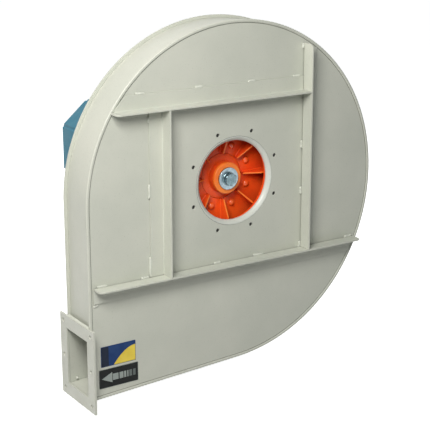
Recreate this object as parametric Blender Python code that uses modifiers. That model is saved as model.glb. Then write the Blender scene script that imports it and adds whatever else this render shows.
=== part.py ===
"""Centrifugal fan: a flat spiral casing with a radial-blade impeller on the motor's own shaft.

Metres, +Z up. The pieces are drawn around the shaft axis, which runs along Y, with Y = 0 at
the front face of the casing. The inlet faces -Y and the outlet faces -X. A parent empty then
stands the fan on Z = 0 with the origin in the middle of its floor plan.
"""
import math

import bmesh
import bpy
from mathutils import Matrix, Vector

# Fits
GAP = 0.0003
RUNNING_GAP = 0.0015
MERGE = 0.00001

# Casing sheets
CASING_DEPTH = 0.117
SIDE_PLATE = 0.004
WRAPPER_SHEET = 0.003
PLATE_LIP = 0.008

# Scroll outline of the side plates: three arcs whose centres step by SCROLL_STEP
SCROLL_CENTRE_X = 0.003
SCROLL_CENTRE_Z = -0.0195
SCROLL_RADIUS = 0.424
SCROLL_STEP = 0.012
OUTLET_FALL = 2.8

# Outlet
DUCT_TOP = -0.342
FLANGE_BORDER = 0.034
FLANGE_THICKNESS = 0.006
FLANGE_HOLE_RADIUS = 0.005
FLOOR_CLEARANCE = 0.006

# Inlet
INLET_OPENING_RADIUS = 0.1146
THROAT_RADIUS = 0.1025
CONE_SHEET = 0.0025
CONE_DEPTH = 0.010
CONE_COLLAR = 0.003
INLET_BOLT_CIRCLE_RADIUS = 0.1325
INLET_HOLE_RADIUS = 0.005
INLET_HOLES = 8

# Stiffening angles on the front plate
ANGLE_HEEL = 0.2085
ANGLE_LEG = 0.040
ANGLE_SHEET = 0.004
ANGLE_END_ROUND = 0.014
TOP_ANGLE_INSET = 0.0025
BOTTOM_ANGLE_INSET = 0.0145
RIGHT_ANGLE_INSET = 0.021
ANGLE_FAR_INSET = 0.012

# Impeller
IMPELLER_RADIUS = 0.330
BLADES = 8
BLADE_PHASE = 0.5
BLADE_SHEET = 0.004
BLADE_INNER_RADIUS = 0.060
BLADE_INNER_HEIGHT = 0.013
BLADE_EYE_HEIGHT = 0.033
DISC_FRONT = 0.063
DISC_SHEET = 0.004
SHROUD_SHEET = 0.003
SHROUD_COLLAR_FRONT = 0.018
SHROUD_COLLAR = 0.006
SHROUD_BEND_RADIUS = 0.010
SHROUD_SLOPE = 2.0
EYE_CLEARANCE = 0.003
TONGUE_GAP = 0.030
TONGUE_NOSE_RADIUS = 0.015
TONGUE_LEAN = 48.0

# Hub
HUB_FRONT = 0.032
HUB_NOSE_RADIUS = 0.0405
HUB_STEP_RISE = 0.003
HUB_FLANGE_RADIUS = 0.100
HUB_FLANGE = 0.010
HUB_TAIL_RADIUS = 0.045
HUB_TAIL = 0.004
RIVET_CIRCLE_RADIUS = 0.082
RIVET_HEAD_RADIUS = 0.0075
RIVET_HEAD_HEIGHT = 0.006
RIVET_SHANK_RADIUS = 0.005
WASHER_RADIUS = 0.0288
WASHER_THICKNESS = 0.005
HUB_BOLT_RADIUS = 0.010
HUB_BOLT_HEAD_RADIUS = 0.0173
HUB_BOLT_HEAD = 0.0125
HUB_BOLT_LENGTH = 0.045

# Shaft
SHAFT_RADIUS = 0.021
SHAFT_EXTENSION = 0.110
SHAFT_RECESS = 0.005
KEY_WIDTH = 0.012
KEY_HEIGHT = 0.008
KEY_LENGTH = 0.032
KEY_DEPTH = 0.005
SEAL_RADIUS = 0.080
SEAL_SHEET = 0.003
SHAFT_OPENING_RADIUS = 0.055

# Motor
SHIELD_DEPTH = 0.025
SHIELD_RIM = 0.012
BARREL_LENGTH = 0.280
BARREL_RADIUS = 0.112
BARREL_WALL = 0.0105
FIN_HEIGHT = 0.015
FIN_FLOOR_ROOM = 0.005
FIN_THICKNESS = 0.004
FINS = 32
FOOT_LINE_INSET = 0.004
FIRST_FOOT = 0.100
LAST_FOOT_INSET = 0.027
FOOT_WIDTH = 0.062
FOOT_THICKNESS = 0.014
FOOT_END = 0.020
FOOT_BOLT_RADIUS = 0.006
CORE_LENGTH = 0.200
ROTOR_RADIUS = 0.0545
AIR_GAP = 0.001
BEARING_WIDTH = 0.024
BEARING_RADIUS = 0.050
JOURNAL_RADIUS = 0.0225
BEARING_FACE = 0.005
BEARING_RACE = 0.007
SEAL_DEPTH = 0.001
CORE_SHAFT_RADIUS = 0.026
FAN_SHAFT_RADIUS = 0.016
COOLING_FAN_ROOM = 0.007
COOLING_FAN_DISC = 0.004
COOLING_FAN_DEPTH = 0.040
COOLING_FAN_ARMS = 7
COWL_SIDE_ROOM = 0.068
COWL_TOP_ROOM = 0.0035
COWL_CHAMFER_WIDTH = 0.077
COWL_CHAMFER_HEIGHT = 0.066
COWL_LENGTH = 0.130
COWL_ROUND = 0.006
COWL_SHEET = 0.0025
COWL_OVERLAP = 0.004
GRILLE_MARGIN = 0.007
GRILLE_SLOT = 0.009
GRILLE_PITCH = 0.020
LUG_WIDTH = 0.030
LUG_THICKNESS = 0.010
BOX_SIZE = 0.140
BOX_HEIGHT = 0.062
BOX_WALL = 0.006
BOX_LID = 0.010
BOX_PAD = 0.080
BOX_TO_EYE = 0.033
BOX_ROUND = 0.010
GLAND_RADIUS = 0.016
GLAND_LENGTH = 0.034
GLAND_NECK_RADIUS = 0.011
GLAND_BORE_RADIUS = 0.008
EYE_COLLAR_RADIUS = 0.015
EYE_RING_RADIUS = 0.020
EYE_WIRE_RADIUS = 0.006
EYE_INSET = 0.045

# Pedestal
PEDESTAL_FOOT_ROOM = 0.023
PEDESTAL_SHEET = 0.005
PEDESTAL_LENGTH = 0.400
PEDESTAL_FRONT = 0.170
TOP_PLATE = 0.010
TOP_PLATE_MARGIN = 0.010
RAIL_WIDTH = 0.050
RAIL_THICKNESS = 0.008
RAIL_START = 0.185
RAIL_TOE = 0.035
RAIL_HOLE_RADIUS = 0.007
RAIL_HOLE_END = 0.030
REAR_ANGLE_TOP = -0.060
REAR_ANGLE_INSET = 0.010
CASING_BOLT_DROP = 0.070
CASING_BOLT_RISE = 0.040
CASING_BOLT_RADIUS = 0.005
BOLT_HEAD_RATIO = 1.7
BOLT_HEAD_HEIGHT_RATIO = 1.3

# Labels on the front plate
LABEL_SHEET = 0.0006
LABEL_FROM_WALL = 0.077
AIRFLOW_LABEL_RISE = 0.0525
AIRFLOW_LABEL_WIDTH = 0.109
AIRFLOW_LABEL_HEIGHT = 0.049
PLAIN_LABEL_RISE = 0.110
PLAIN_LABEL_WIDTH = 0.097
PLAIN_LABEL_HEIGHT = 0.053

# Places that follow from the sizes
ARC_STEP = 5
CORNER_STEP = 30
HOLE_SIDES = 12
SHIELD_SIDES = 28
FLAT_ANGLE = 0.01
WRAPPER_OUTSET = PLATE_LIP + WRAPPER_SHEET
LEFT_WALL = SCROLL_CENTRE_X - SCROLL_RADIUS
LABEL_CENTRE_X = LEFT_WALL + LABEL_FROM_WALL
REAR_FACE = CASING_DEPTH
MOTOR_FRONT = HUB_FRONT + SHAFT_RECESS + SHAFT_EXTENSION
SHIELD_RADIUS = BARREL_RADIUS + SHIELD_RIM
BARREL_BORE_RADIUS = BARREL_RADIUS - BARREL_WALL
FIN_TIP_RADIUS = BARREL_RADIUS + FIN_HEIGHT
MOTOR_HEIGHT = FIN_TIP_RADIUS + FIN_FLOOR_ROOM
FOOT_SPACING_X = 2 * (BARREL_RADIUS - FOOT_LINE_INSET)
EYE_START = BARREL_LENGTH - EYE_INSET
BOX_START = EYE_START - BOX_TO_EYE - BOX_SIZE
COOLING_FAN_RADIUS = BARREL_RADIUS - COOLING_FAN_ROOM
GRILLE_RADIUS = COOLING_FAN_RADIUS + GRILLE_MARGIN
COWL_HALF_WIDTH = FIN_TIP_RADIUS + COWL_SIDE_ROOM
COWL_HALF_HEIGHT = FIN_TIP_RADIUS + COWL_TOP_ROOM
PEDESTAL_HALF_WIDTH = FOOT_SPACING_X / 2 + PEDESTAL_FOOT_ROOM
BARREL_FRONT = MOTOR_FRONT + SHIELD_DEPTH
BARREL_REAR = BARREL_FRONT + BARREL_LENGTH
MOTOR_REAR = BARREL_REAR + SHIELD_DEPTH
FOOT_SPACING_Y = BARREL_REAR - LAST_FOOT_INSET - MOTOR_FRONT - FIRST_FOOT
COWL_FRONT = BARREL_REAR - COWL_OVERLAP
COWL_REAR = COWL_FRONT + COWL_LENGTH
CORE_FRONT = (BARREL_FRONT + BARREL_REAR - CORE_LENGTH) / 2
PEDESTAL_TOP = -MOTOR_HEIGHT - GAP
EYE_RADIUS = THROAT_RADIUS + CONE_SHEET + EYE_CLEARANCE
DISC_REAR = DISC_FRONT + DISC_SHEET
HUB_STEP = DISC_FRONT - HUB_STEP_RISE
BLADE_INNER_FRONT = DISC_FRONT - BLADE_INNER_HEIGHT
BLADE_EYE_FRONT = DISC_FRONT - BLADE_EYE_HEIGHT
HUB_BODY_RADIUS = BLADE_INNER_RADIUS - 2 * GAP


def scroll_arcs():
    """Centre and radius of the arcs under the right, over the right and over the left."""
    upper_left = (SCROLL_CENTRE_X, SCROLL_CENTRE_Z, SCROLL_RADIUS)
    upper_right = (SCROLL_CENTRE_X, SCROLL_CENTRE_Z - SCROLL_STEP, SCROLL_RADIUS + SCROLL_STEP)
    lower_right = (SCROLL_CENTRE_X - SCROLL_STEP, SCROLL_CENTRE_Z - SCROLL_STEP,
                   SCROLL_RADIUS + 2 * SCROLL_STEP)
    return lower_right, upper_right, upper_left


def arc(centre_x, centre_z, radius, start, end, step=ARC_STEP):
    """Points of an arc in the X-Z plane, its ends included. Angles are in degrees from +X."""
    count = max(2, round(abs(end - start) / step))
    angles = [math.radians(start + (end - start) * i / count) for i in range(count + 1)]
    return [(centre_x + radius * math.cos(a), centre_z + radius * math.sin(a)) for a in angles]


def circle(centre_x, centre_z, radius, count=16):
    """Points of a full circle."""
    angles = [2 * math.pi * (i + 0.5) / count for i in range(count)]
    return [(centre_x + radius * math.cos(a), centre_z + radius * math.sin(a)) for a in angles]


def rectangle(x0, z0, x1, z1):
    """Corners of a rectangle."""
    return [(x0, z0), (x1, z0), (x1, z1), (x0, z1)]


def bottom_height(x, inset):
    """Height of the sloping bottom edge at x, for an outline drawn inset from the plates' edge."""
    centre_x, centre_z, radius = scroll_arcs()[0]
    angle = math.radians(OUTLET_FALL - 90)
    start_x = centre_x + (radius - inset) * math.cos(angle)
    start_z = centre_z + (radius - inset) * math.sin(angle)
    return start_z - (start_x - x) * math.tan(math.radians(OUTLET_FALL))


def scroll_path(inset, wall_end):
    """The spiral from the outlet's floor round to the left wall, which it follows to wall_end."""
    lower_right, upper_right, upper_left = scroll_arcs()
    points = [(LEFT_WALL, bottom_height(LEFT_WALL, inset))]
    limits = ((lower_right, OUTLET_FALL - 90, 0), (upper_right, 0, 90), (upper_left, 90, 180))
    for (centre_x, centre_z, radius), start, end in limits:
        bend = arc(centre_x, centre_z, radius - inset, start, end)
        points += bend if start < 0 else bend[1:]
    points.append((LEFT_WALL + inset, wall_end))
    return points


def reach(scroll_arc, height):
    """How far an arc's edge lies beside its centre, at a height over that centre."""
    return math.sqrt(scroll_arc[2] ** 2 - height ** 2)


def left_edge(z):
    """Where the plates' edge lies at the upper left, at height z."""
    bend = scroll_arcs()[2]
    return bend[0] - reach(bend, z - bend[1])


def right_edge(z):
    """Where the plates' edge lies at the lower right, at height z."""
    bend = scroll_arcs()[0]
    return bend[0] + reach(bend, z - bend[1])


def top_edge(x):
    """Height of the plates' edge at the upper right."""
    bend = scroll_arcs()[1]
    return bend[1] + reach(bend, x - bend[0])


def bottom_edge(x):
    """Height of the plates' edge at the lower right."""
    bend = scroll_arcs()[0]
    return bend[1] - reach(bend, x - bend[0])


DUCT_FLOOR = bottom_height(LEFT_WALL, WRAPPER_OUTSET)
REAR_ANGLE_BOTTOM = bottom_edge(PEDESTAL_HALF_WIDTH) + REAR_ANGLE_INSET
CASING_BOLT_HEIGHTS = (PEDESTAL_TOP - CASING_BOLT_DROP, REAR_ANGLE_BOTTOM + CASING_BOLT_RISE)
SHAFT_HEIGHT = FLANGE_BORDER + FLOOR_CLEARANCE - DUCT_FLOOR
FLOOR = -SHAFT_HEIGHT


def clear_scene():
    """Remove every object that is open."""
    for item in list(bpy.data.objects):
        bpy.data.objects.remove(item, do_unlink=True)


def new_collection(name):
    """A collection linked to the scene."""
    collection = bpy.data.collections.new(name)
    bpy.context.scene.collection.children.link(collection)
    return collection


clear_scene()
FAN = new_collection("centrifugal_fan")
CUTTERS = new_collection("cutters")


def linear(channel):
    """One sRGB channel, 0 to 255, as a linear value."""
    value = channel / 255
    return value / 12.92 if value <= 0.04045 else ((value + 0.055) / 1.055) ** 2.4


def material(name, red, green, blue, roughness, metallic=0.0):
    """A Principled material with the colour given in sRGB."""
    result = bpy.data.materials.new(name)
    result.use_nodes = True
    shader = result.node_tree.nodes["Principled BSDF"]
    shader.inputs["Base Color"].default_value = (linear(red), linear(green), linear(blue), 1)
    shader.inputs["Roughness"].default_value = roughness
    shader.inputs["Metallic"].default_value = metallic
    return result


CASING_PAINT = material("casing_paint", 192, 193, 180, 0.45)
PEDESTAL_PAINT = material("pedestal_paint", 186, 188, 176, 0.5)
IMPELLER_PAINT = material("impeller_paint", 214, 70, 24, 0.4)
MOTOR_PAINT = material("motor_paint", 70, 125, 148, 0.45)
ZINC = material("zinc_plate", 170, 178, 188, 0.3, 1.0)
STEEL = material("bright_steel", 150, 150, 152, 0.35, 1.0)
CORE_STEEL = material("core_steel", 96, 98, 102, 0.5, 1.0)
BLACK_PLASTIC = material("black_plastic", 38, 40, 42, 0.55)
BLACK_LABEL = material("black_label", 29, 35, 35, 0.35)
BLUE_LABEL = material("blue_label", 34, 61, 108, 0.35)


def add_mesh(name, mesh, finish, collection=FAN):
    """Link a mesh as a named object with one material."""
    item = bpy.data.objects.new(name, mesh)
    mesh.materials.clear()
    mesh.materials.append(finish)
    collection.objects.link(item)
    return item


def smooth(item, angle=35):
    """Shade smooth, with edges sharper than the angle kept sharp."""
    item.data.shade_smooth()
    item.data.set_sharp_from_angle(angle=math.radians(angle))


FACING = {
    "Y": Matrix.Rotation(math.pi / 2, 4, "X"),
    "Z": Matrix.Identity(4),
    "X": Matrix(((0, 0, 1, 0), (1, 0, 0, 0), (0, 1, 0, 0), (0, 0, 0, 1))),
}


def flat(name, outlines, start, end, finish, facing="Y", collection=FAN):
    """A flat piece: outlines in one plane, the first the rim and the rest holes.

    It fills start to end along the axis that it faces.
    """
    curve = bpy.data.curves.new(name, "CURVE")
    curve.dimensions = "2D"
    curve.fill_mode = "BOTH"
    curve.extrude = (end - start) / 2
    for outline in outlines:
        spline = curve.splines.new("POLY")
        spline.points.add(len(outline) - 1)
        for point, (u, v) in zip(spline.points, outline):
            point.co = (u, v, 0, 1)
        spline.use_cyclic_u = True
    source = bpy.data.objects.new(name + "_outline", curve)
    bpy.context.scene.collection.objects.link(source)
    mesh = bpy.data.meshes.new_from_object(source.evaluated_get(bpy.context.evaluated_depsgraph_get()))
    bpy.data.objects.remove(source)
    bpy.data.curves.remove(curve)
    shift = {"X": Vector((1, 0, 0)), "Y": Vector((0, 1, 0)), "Z": Vector((0, 0, 1))}[facing]
    shape = bmesh.new()
    shape.from_mesh(mesh)
    bmesh.ops.remove_doubles(shape, verts=shape.verts, dist=MERGE)
    bmesh.ops.transform(shape, matrix=Matrix.Translation(shift * (start + end) / 2) @ FACING[facing],
                        verts=shape.verts)
    bmesh.ops.recalc_face_normals(shape, faces=shape.faces)
    shape.to_mesh(mesh)
    shape.free()
    return add_mesh(name, mesh, finish, collection)


def turned(name, profile, finish, segments=48, collection=FAN):
    """A body turned about the Y axis from a closed profile of (radius, y) points."""
    area = sum(a[0] * b[1] - b[0] * a[1] for a, b in zip(profile, profile[1:] + profile[:1]))
    ordered = profile if area > 0 else profile[::-1]
    mesh = bpy.data.meshes.new(name)
    shape = bmesh.new()
    points = [shape.verts.new((radius, y, 0)) for radius, y in ordered]
    for first, second in zip(points, points[1:] + points[:1]):
        if first.co.x > MERGE or second.co.x > MERGE:
            shape.edges.new((first, second))
    shape.to_mesh(mesh)
    shape.free()
    item = add_mesh(name, mesh, finish, collection)
    screw = item.modifiers.new("turn", "SCREW")
    screw.axis = "Y"
    screw.steps = segments
    screw.render_steps = segments
    screw.use_merge_vertices = True
    screw.merge_threshold = MERGE
    return baked(item)


def baked(item):
    """The object with its modifiers worked into its mesh, and its faces pointing out."""
    bpy.context.view_layer.update()
    finish = item.data.materials[0]
    evaluated = item.evaluated_get(bpy.context.evaluated_depsgraph_get())
    mesh = bpy.data.meshes.new_from_object(evaluated)
    shape = bmesh.new()
    shape.from_mesh(mesh)
    bmesh.ops.remove_doubles(shape, verts=shape.verts, dist=MERGE)
    bmesh.ops.recalc_face_normals(shape, faces=shape.faces)
    shape.to_mesh(mesh)
    shape.free()
    item.modifiers.clear()
    item.data = mesh
    mesh.materials.clear()
    mesh.materials.append(finish)
    smooth(item)
    return item


def block(name, low, high, finish, collection=FAN):
    """A box between two corners."""
    mesh = bpy.data.meshes.new(name)
    shape = bmesh.new()
    size = [b - a for a, b in zip(low, high)]
    middle = [(a + b) / 2 for a, b in zip(low, high)]
    place = Matrix.Translation(middle) @ Matrix.Diagonal((*size, 1))
    bmesh.ops.create_cube(shape, size=1, matrix=place)
    shape.to_mesh(mesh)
    shape.free()
    return add_mesh(name, mesh, finish, collection)


def rod(name, radius, start, end, finish, segments=16, collection=FAN):
    """A round or many-sided rod between two points."""
    mesh = bpy.data.meshes.new(name)
    shape = bmesh.new()
    along = Vector(end) - Vector(start)
    turn = Vector((0, 0, 1)).rotation_difference(along).to_matrix().to_4x4()
    place = Matrix.Translation((Vector(start) + Vector(end)) / 2) @ turn
    bmesh.ops.create_cone(shape, cap_ends=True, segments=segments, radius1=radius, radius2=radius,
                          depth=along.length, matrix=place)
    shape.to_mesh(mesh)
    shape.free()
    item = add_mesh(name, mesh, finish, collection)
    smooth(item)
    return item


def combine(item, others, operation):
    """Work Boolean modifiers with the other objects into the item, and keep those as guides."""
    for other in others:
        modifier = item.modifiers.new(other.name, "BOOLEAN")
        modifier.operation = operation
        modifier.solver = "EXACT"
        modifier.object = other
        other.hide_render = True
        other.display_type = "WIRE"
    return baked(item)


def cut(item, *cutters):
    """Take the cutters away from the item."""
    return combine(item, cutters, "DIFFERENCE")


def join(item, *others):
    """Add the other shapes to the item, as one body."""
    return combine(item, others, "UNION")


def casing():
    """The two side plates, the wrapper between them, the cut-off tongue and the flange."""
    outline = scroll_path(0, SCROLL_CENTRE_Z)[:-1]
    bolts = [circle(INLET_BOLT_CIRCLE_RADIUS * math.cos(a), INLET_BOLT_CIRCLE_RADIUS * math.sin(a),
                    INLET_HOLE_RADIUS, HOLE_SIDES)
             for a in (2 * math.pi * (i + 0.5) / INLET_HOLES for i in range(INLET_HOLES))]
    inlet = circle(0, 0, INLET_OPENING_RADIUS, 48)
    flat("front_side_plate", [outline, inlet] + bolts, 0, SIDE_PLATE, CASING_PAINT)
    shaft_opening = circle(0, 0, SHAFT_OPENING_RADIUS, 32)
    flat("rear_side_plate", [outline, shaft_opening], REAR_FACE - SIDE_PLATE, REAR_FACE, CASING_PAINT)
    inside = (SIDE_PLATE + GAP, REAR_FACE - SIDE_PLATE - GAP)
    wall_end = DUCT_TOP + WRAPPER_SHEET + GAP
    outer = scroll_path(PLATE_LIP, wall_end)
    inner = scroll_path(WRAPPER_OUTSET, wall_end)
    wrapper = flat("scroll_wrapper", [outer + inner[::-1]], *inside, CASING_PAINT)
    smooth(wrapper)
    tongue_plate(*inside)
    outlet_flange()


def tongue_plate(front, rear):
    """The bent cut-off sheet: over the outlet duct, round its nose and back to the left wall."""
    clear_radius = IMPELLER_RADIUS + TONGUE_GAP
    lean = math.radians(TONGUE_LEAN)
    nose_z = DUCT_TOP + TONGUE_NOSE_RADIUS
    nose_x = -(clear_radius + TONGUE_NOSE_RADIUS + math.sin(lean) * nose_z) / math.cos(lean)
    wall = LEFT_WALL + WRAPPER_OUTSET + GAP

    def side(depth):
        radius = TONGUE_NOSE_RADIUS - depth
        bend = arc(nose_x, nose_z, radius, -90, TONGUE_LEAN, 20)
        end_x, end_z = bend[-1]
        rise = (end_x - wall) * math.cos(lean) / math.sin(lean)
        return [(LEFT_WALL, DUCT_TOP + depth)] + bend + [(wall, end_z + rise)]

    sheet = flat("tongue_plate", [side(0) + side(WRAPPER_SHEET)[::-1]], front, rear, CASING_PAINT)
    smooth(sheet)


def outlet_flange():
    """The bolting flange round the outlet, with its opening as large as the duct."""
    low_y, high_y = SIDE_PLATE, REAR_FACE - SIDE_PLATE
    rim = rectangle(low_y - FLANGE_BORDER, DUCT_FLOOR - FLANGE_BORDER,
                    high_y + FLANGE_BORDER, DUCT_TOP + FLANGE_BORDER)
    opening = rectangle(low_y, DUCT_FLOOR, high_y, DUCT_TOP)
    middle = FLANGE_BORDER / 2
    holes = [circle(y, z, FLANGE_HOLE_RADIUS, HOLE_SIDES)
             for y in (low_y - middle, high_y + middle)
             for z in (DUCT_FLOOR - middle, (DUCT_FLOOR + DUCT_TOP) / 2, DUCT_TOP + middle)]
    back = LEFT_WALL - GAP
    flat("outlet_flange", [rim, opening] + holes, back - FLANGE_THICKNESS, back, CASING_PAINT, "X")


def inlet_cone():
    """The bell mouth that is welded into the front plate's opening."""
    mouth = INLET_OPENING_RADIUS - GAP - CONE_SHEET
    flare = mouth - THROAT_RADIUS
    steps = 4
    turns = [math.pi / 2 * i / steps for i in range(steps + 1)]
    air_side = [(THROAT_RADIUS + flare * (1 - math.sin(turn)), CONE_DEPTH * i / steps)
                for i, turn in enumerate(turns)]
    air_side.append((THROAT_RADIUS, CONE_DEPTH + CONE_COLLAR))
    outside = [(radius + CONE_SHEET, y) for radius, y in air_side]
    turned("inlet_cone", air_side + outside[::-1], CASING_PAINT)


def standing_leg(start, end, first, last):
    """Outline of an angle bar's standing leg, with its free corners rounded at the named radii."""
    tip = -ANGLE_LEG
    near = arc(start + first, tip + first, first, 180, 270, CORNER_STEP) if first else [(start, tip)]
    far = arc(end - last, tip + last, last, 270, 360, CORNER_STEP) if last else [(end, tip)]
    return [(end, -GAP), (start, -GAP)] + near + far


def front_angle(name, ends, far_ends, side, upright=False, rounds=(0, 0)):
    """An angle bar on the front plate: a flat leg on the plate and a standing leg at its heel.

    The bar runs along X, or along Z where upright is true, and its flat leg points away from the
    inlet. far_ends are the ends of the flat leg's free edge, which keeps inside the plate's hem.
    """
    heel = side * ANGLE_HEEL
    low, high = sorted((heel, heel + side * ANGLE_SHEET))
    near, far = heel + side * ANGLE_SHEET / 2, heel + side * ANGLE_LEG
    standing = standing_leg(*ends, *rounds)
    lying = [(ends[0], near), (ends[1], near), (far_ends[1], far), (far_ends[0], far)]
    if upright:
        leg = flat(name, [[(y, z) for z, y in standing]], low, high, CASING_PAINT, "X")
        lying = [(x, z) for z, x in lying]
    else:
        leg = flat(name, [standing], low, high, CASING_PAINT, "Z")
    foot = flat(name + "_foot", [lying], -ANGLE_SHEET, -GAP, CASING_PAINT, "Y", CUTTERS)
    return join(leg, foot)


def shaft_seal_plate():
    """The ring plate that closes the rear plate round the shaft."""
    bore = SHAFT_RADIUS + RUNNING_GAP
    front = REAR_FACE + GAP
    rear = front + SEAL_SHEET
    ring = [(bore, front), (SEAL_RADIUS, front), (SEAL_RADIUS, rear), (bore, rear)]
    turned("shaft_seal_plate", ring, CASING_PAINT, 32)


def front_angles():
    """The square of four angle bars round the inlet, butted at their heels."""
    inside = ANGLE_HEEL - GAP
    rounded = ANGLE_END_ROUND
    far = ANGLE_HEEL + ANGLE_LEG
    full = (-inside, inside)
    front_angle("top_angle", (left_edge(ANGLE_HEEL) + TOP_ANGLE_INSET, inside),
                (left_edge(far) + ANGLE_FAR_INSET, inside), 1, rounds=(rounded, 0))
    start = LEFT_WALL + ANGLE_FAR_INSET
    front_angle("bottom_angle", (start, right_edge(-ANGLE_HEEL) - BOTTOM_ANGLE_INSET),
                (start, right_edge(-far) - ANGLE_FAR_INSET), -1, rounds=(rounded, rounded))
    front_angle("left_angle", full, full, -1, upright=True)
    front_angle("right_angle", (-inside, top_edge(ANGLE_HEEL) - RIGHT_ANGLE_INSET),
                (-inside, top_edge(far) - ANGLE_FAR_INSET), 1, upright=True, rounds=(0, rounded))


def rear_angles():
    """Two upright angle bars on the rear plate, which the pedestal's sides bolt to."""
    heel = PEDESTAL_HALF_WIDTH - PEDESTAL_SHEET - GAP
    front = REAR_FACE + GAP
    for side, name in ((-1, "rear_angle_left"), (1, "rear_angle_right")):
        outline = [(heel, front), (heel, front + ANGLE_LEG), (heel - ANGLE_SHEET, front + ANGLE_LEG),
                   (heel - ANGLE_SHEET, front + ANGLE_SHEET), (heel - ANGLE_LEG, front + ANGLE_SHEET),
                   (heel - ANGLE_LEG, front)]
        bar = flat(name, [[(side * x, y) for x, y in outline]], REAR_ANGLE_BOTTOM, REAR_ANGLE_TOP,
                   CASING_PAINT, "Z")
        cut(bar, *casing_bolt_holes(name, side))


def casing_bolt_holes(owner, side):
    """Cutters for the bolts that join a rear angle to the pedestal's side."""
    y = REAR_FACE + GAP + (ANGLE_SHEET + ANGLE_LEG) / 2
    inner = side * (PEDESTAL_HALF_WIDTH - RAIL_WIDTH)
    outer = side * (PEDESTAL_HALF_WIDTH + RAIL_WIDTH)
    return [rod(f"{owner}_hole_{i}", CASING_BOLT_RADIUS + GAP, (inner, y, z), (outer, y, z),
                STEEL, HOLE_SIDES, CUTTERS)
            for i, z in enumerate(CASING_BOLT_HEIGHTS)]


def bolt(name, radius, start, end):
    """A hexagon bolt: shank from start to end, with its head beyond start."""
    along = (Vector(end) - Vector(start)).normalized()
    head_end = Vector(start) - along * radius * BOLT_HEAD_HEIGHT_RATIO
    shank = rod(name, radius, Vector(start) - along * radius, end, ZINC, 12)
    head = rod(name + "_head", radius * BOLT_HEAD_RATIO, head_end, start, ZINC, 6, CUTTERS)
    return join(shank, head)


def pedestal():
    """The motor's stand: two side plates on flat rails, with cross plates and a top plate."""
    rear = PEDESTAL_FRONT + PEDESTAL_LENGTH - RAIL_TOE
    under_top = PEDESTAL_TOP - TOP_PLATE - GAP
    over_rail = FLOOR + RAIL_THICKNESS + GAP
    near_casing = REAR_FACE + ANGLE_SHEET + 2 * GAP
    rail_end = PEDESTAL_FRONT + PEDESTAL_LENGTH
    side_shape = [(near_casing, under_top), (rear, under_top), (rail_end, over_rail),
                  (RAIL_START, over_rail), (near_casing, REAR_ANGLE_BOTTOM - RAIL_TOE)]
    inner = PEDESTAL_HALF_WIDTH - PEDESTAL_SHEET
    for side, label in ((-1, "left"), (1, "right")):
        low, high = sorted((side * inner, side * PEDESTAL_HALF_WIDTH))
        plate = flat(f"pedestal_{label}_side", [side_shape], low, high, PEDESTAL_PAINT, "X")
        cut(plate, *casing_bolt_holes(plate.name, side))
        low, high = sorted((side * (PEDESTAL_HALF_WIDTH - RAIL_WIDTH), side * PEDESTAL_HALF_WIDTH))
        rail_x = side * (inner + PEDESTAL_HALF_WIDTH - RAIL_WIDTH - PEDESTAL_SHEET) / 2
        holes = [circle(rail_x, y, RAIL_HOLE_RADIUS, HOLE_SIDES)
                 for y in (RAIL_START + RAIL_HOLE_END, rail_end - RAIL_HOLE_END)]
        flat(f"base_rail_{label}", [rectangle(low, RAIL_START, high, rail_end)] + holes,
             FLOOR, FLOOR + RAIL_THICKNESS, PEDESTAL_PAINT, "Z")
    rear_cross = rear - 2 * PEDESTAL_SHEET
    for name, y in (("pedestal_front_plate", PEDESTAL_FRONT), ("pedestal_rear_plate", rear_cross)):
        block(name, (-inner + GAP, y, over_rail), (inner - GAP, y + PEDESTAL_SHEET, under_top),
              PEDESTAL_PAINT)
    half = PEDESTAL_HALF_WIDTH + TOP_PLATE_MARGIN
    outline = rectangle(-half, near_casing + ANGLE_LEG, half, rear)
    holes = [circle(x, y, FOOT_BOLT_RADIUS + GAP, HOLE_SIDES) for x, y in foot_places()]
    flat("pedestal_top_plate", [outline] + holes, PEDESTAL_TOP - TOP_PLATE, PEDESTAL_TOP,
         PEDESTAL_PAINT, "Z")


def foot_places():
    """Centres of the motor's four foot bolts."""
    first = MOTOR_FRONT + FIRST_FOOT
    return [(side * FOOT_SPACING_X / 2, first + step * FOOT_SPACING_Y)
            for side in (-1, 1) for step in (0, 1)]


def fasteners():
    """Foot bolts through the top plate, and bolts between the casing and the pedestal."""
    top = -MOTOR_HEIGHT + FOOT_THICKNESS + GAP
    tip = PEDESTAL_TOP - TOP_PLATE - FOOT_BOLT_RADIUS
    for i, (x, y) in enumerate(foot_places()):
        bolt(f"foot_bolt_{i + 1}", FOOT_BOLT_RADIUS, (x, y, top), (x, y, tip))
    y = REAR_FACE + GAP + (ANGLE_SHEET + ANGLE_LEG) / 2
    places = [(side, z) for side in (-1, 1) for z in CASING_BOLT_HEIGHTS]
    for i, (side, z) in enumerate(places):
        start = (side * (PEDESTAL_HALF_WIDTH + GAP), y, z)
        end = (side * (PEDESTAL_HALF_WIDTH - PEDESTAL_SHEET - ANGLE_SHEET - CASING_BOLT_RADIUS), y, z)
        bolt(f"casing_bolt_{i + 1}", CASING_BOLT_RADIUS, start, end)


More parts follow.
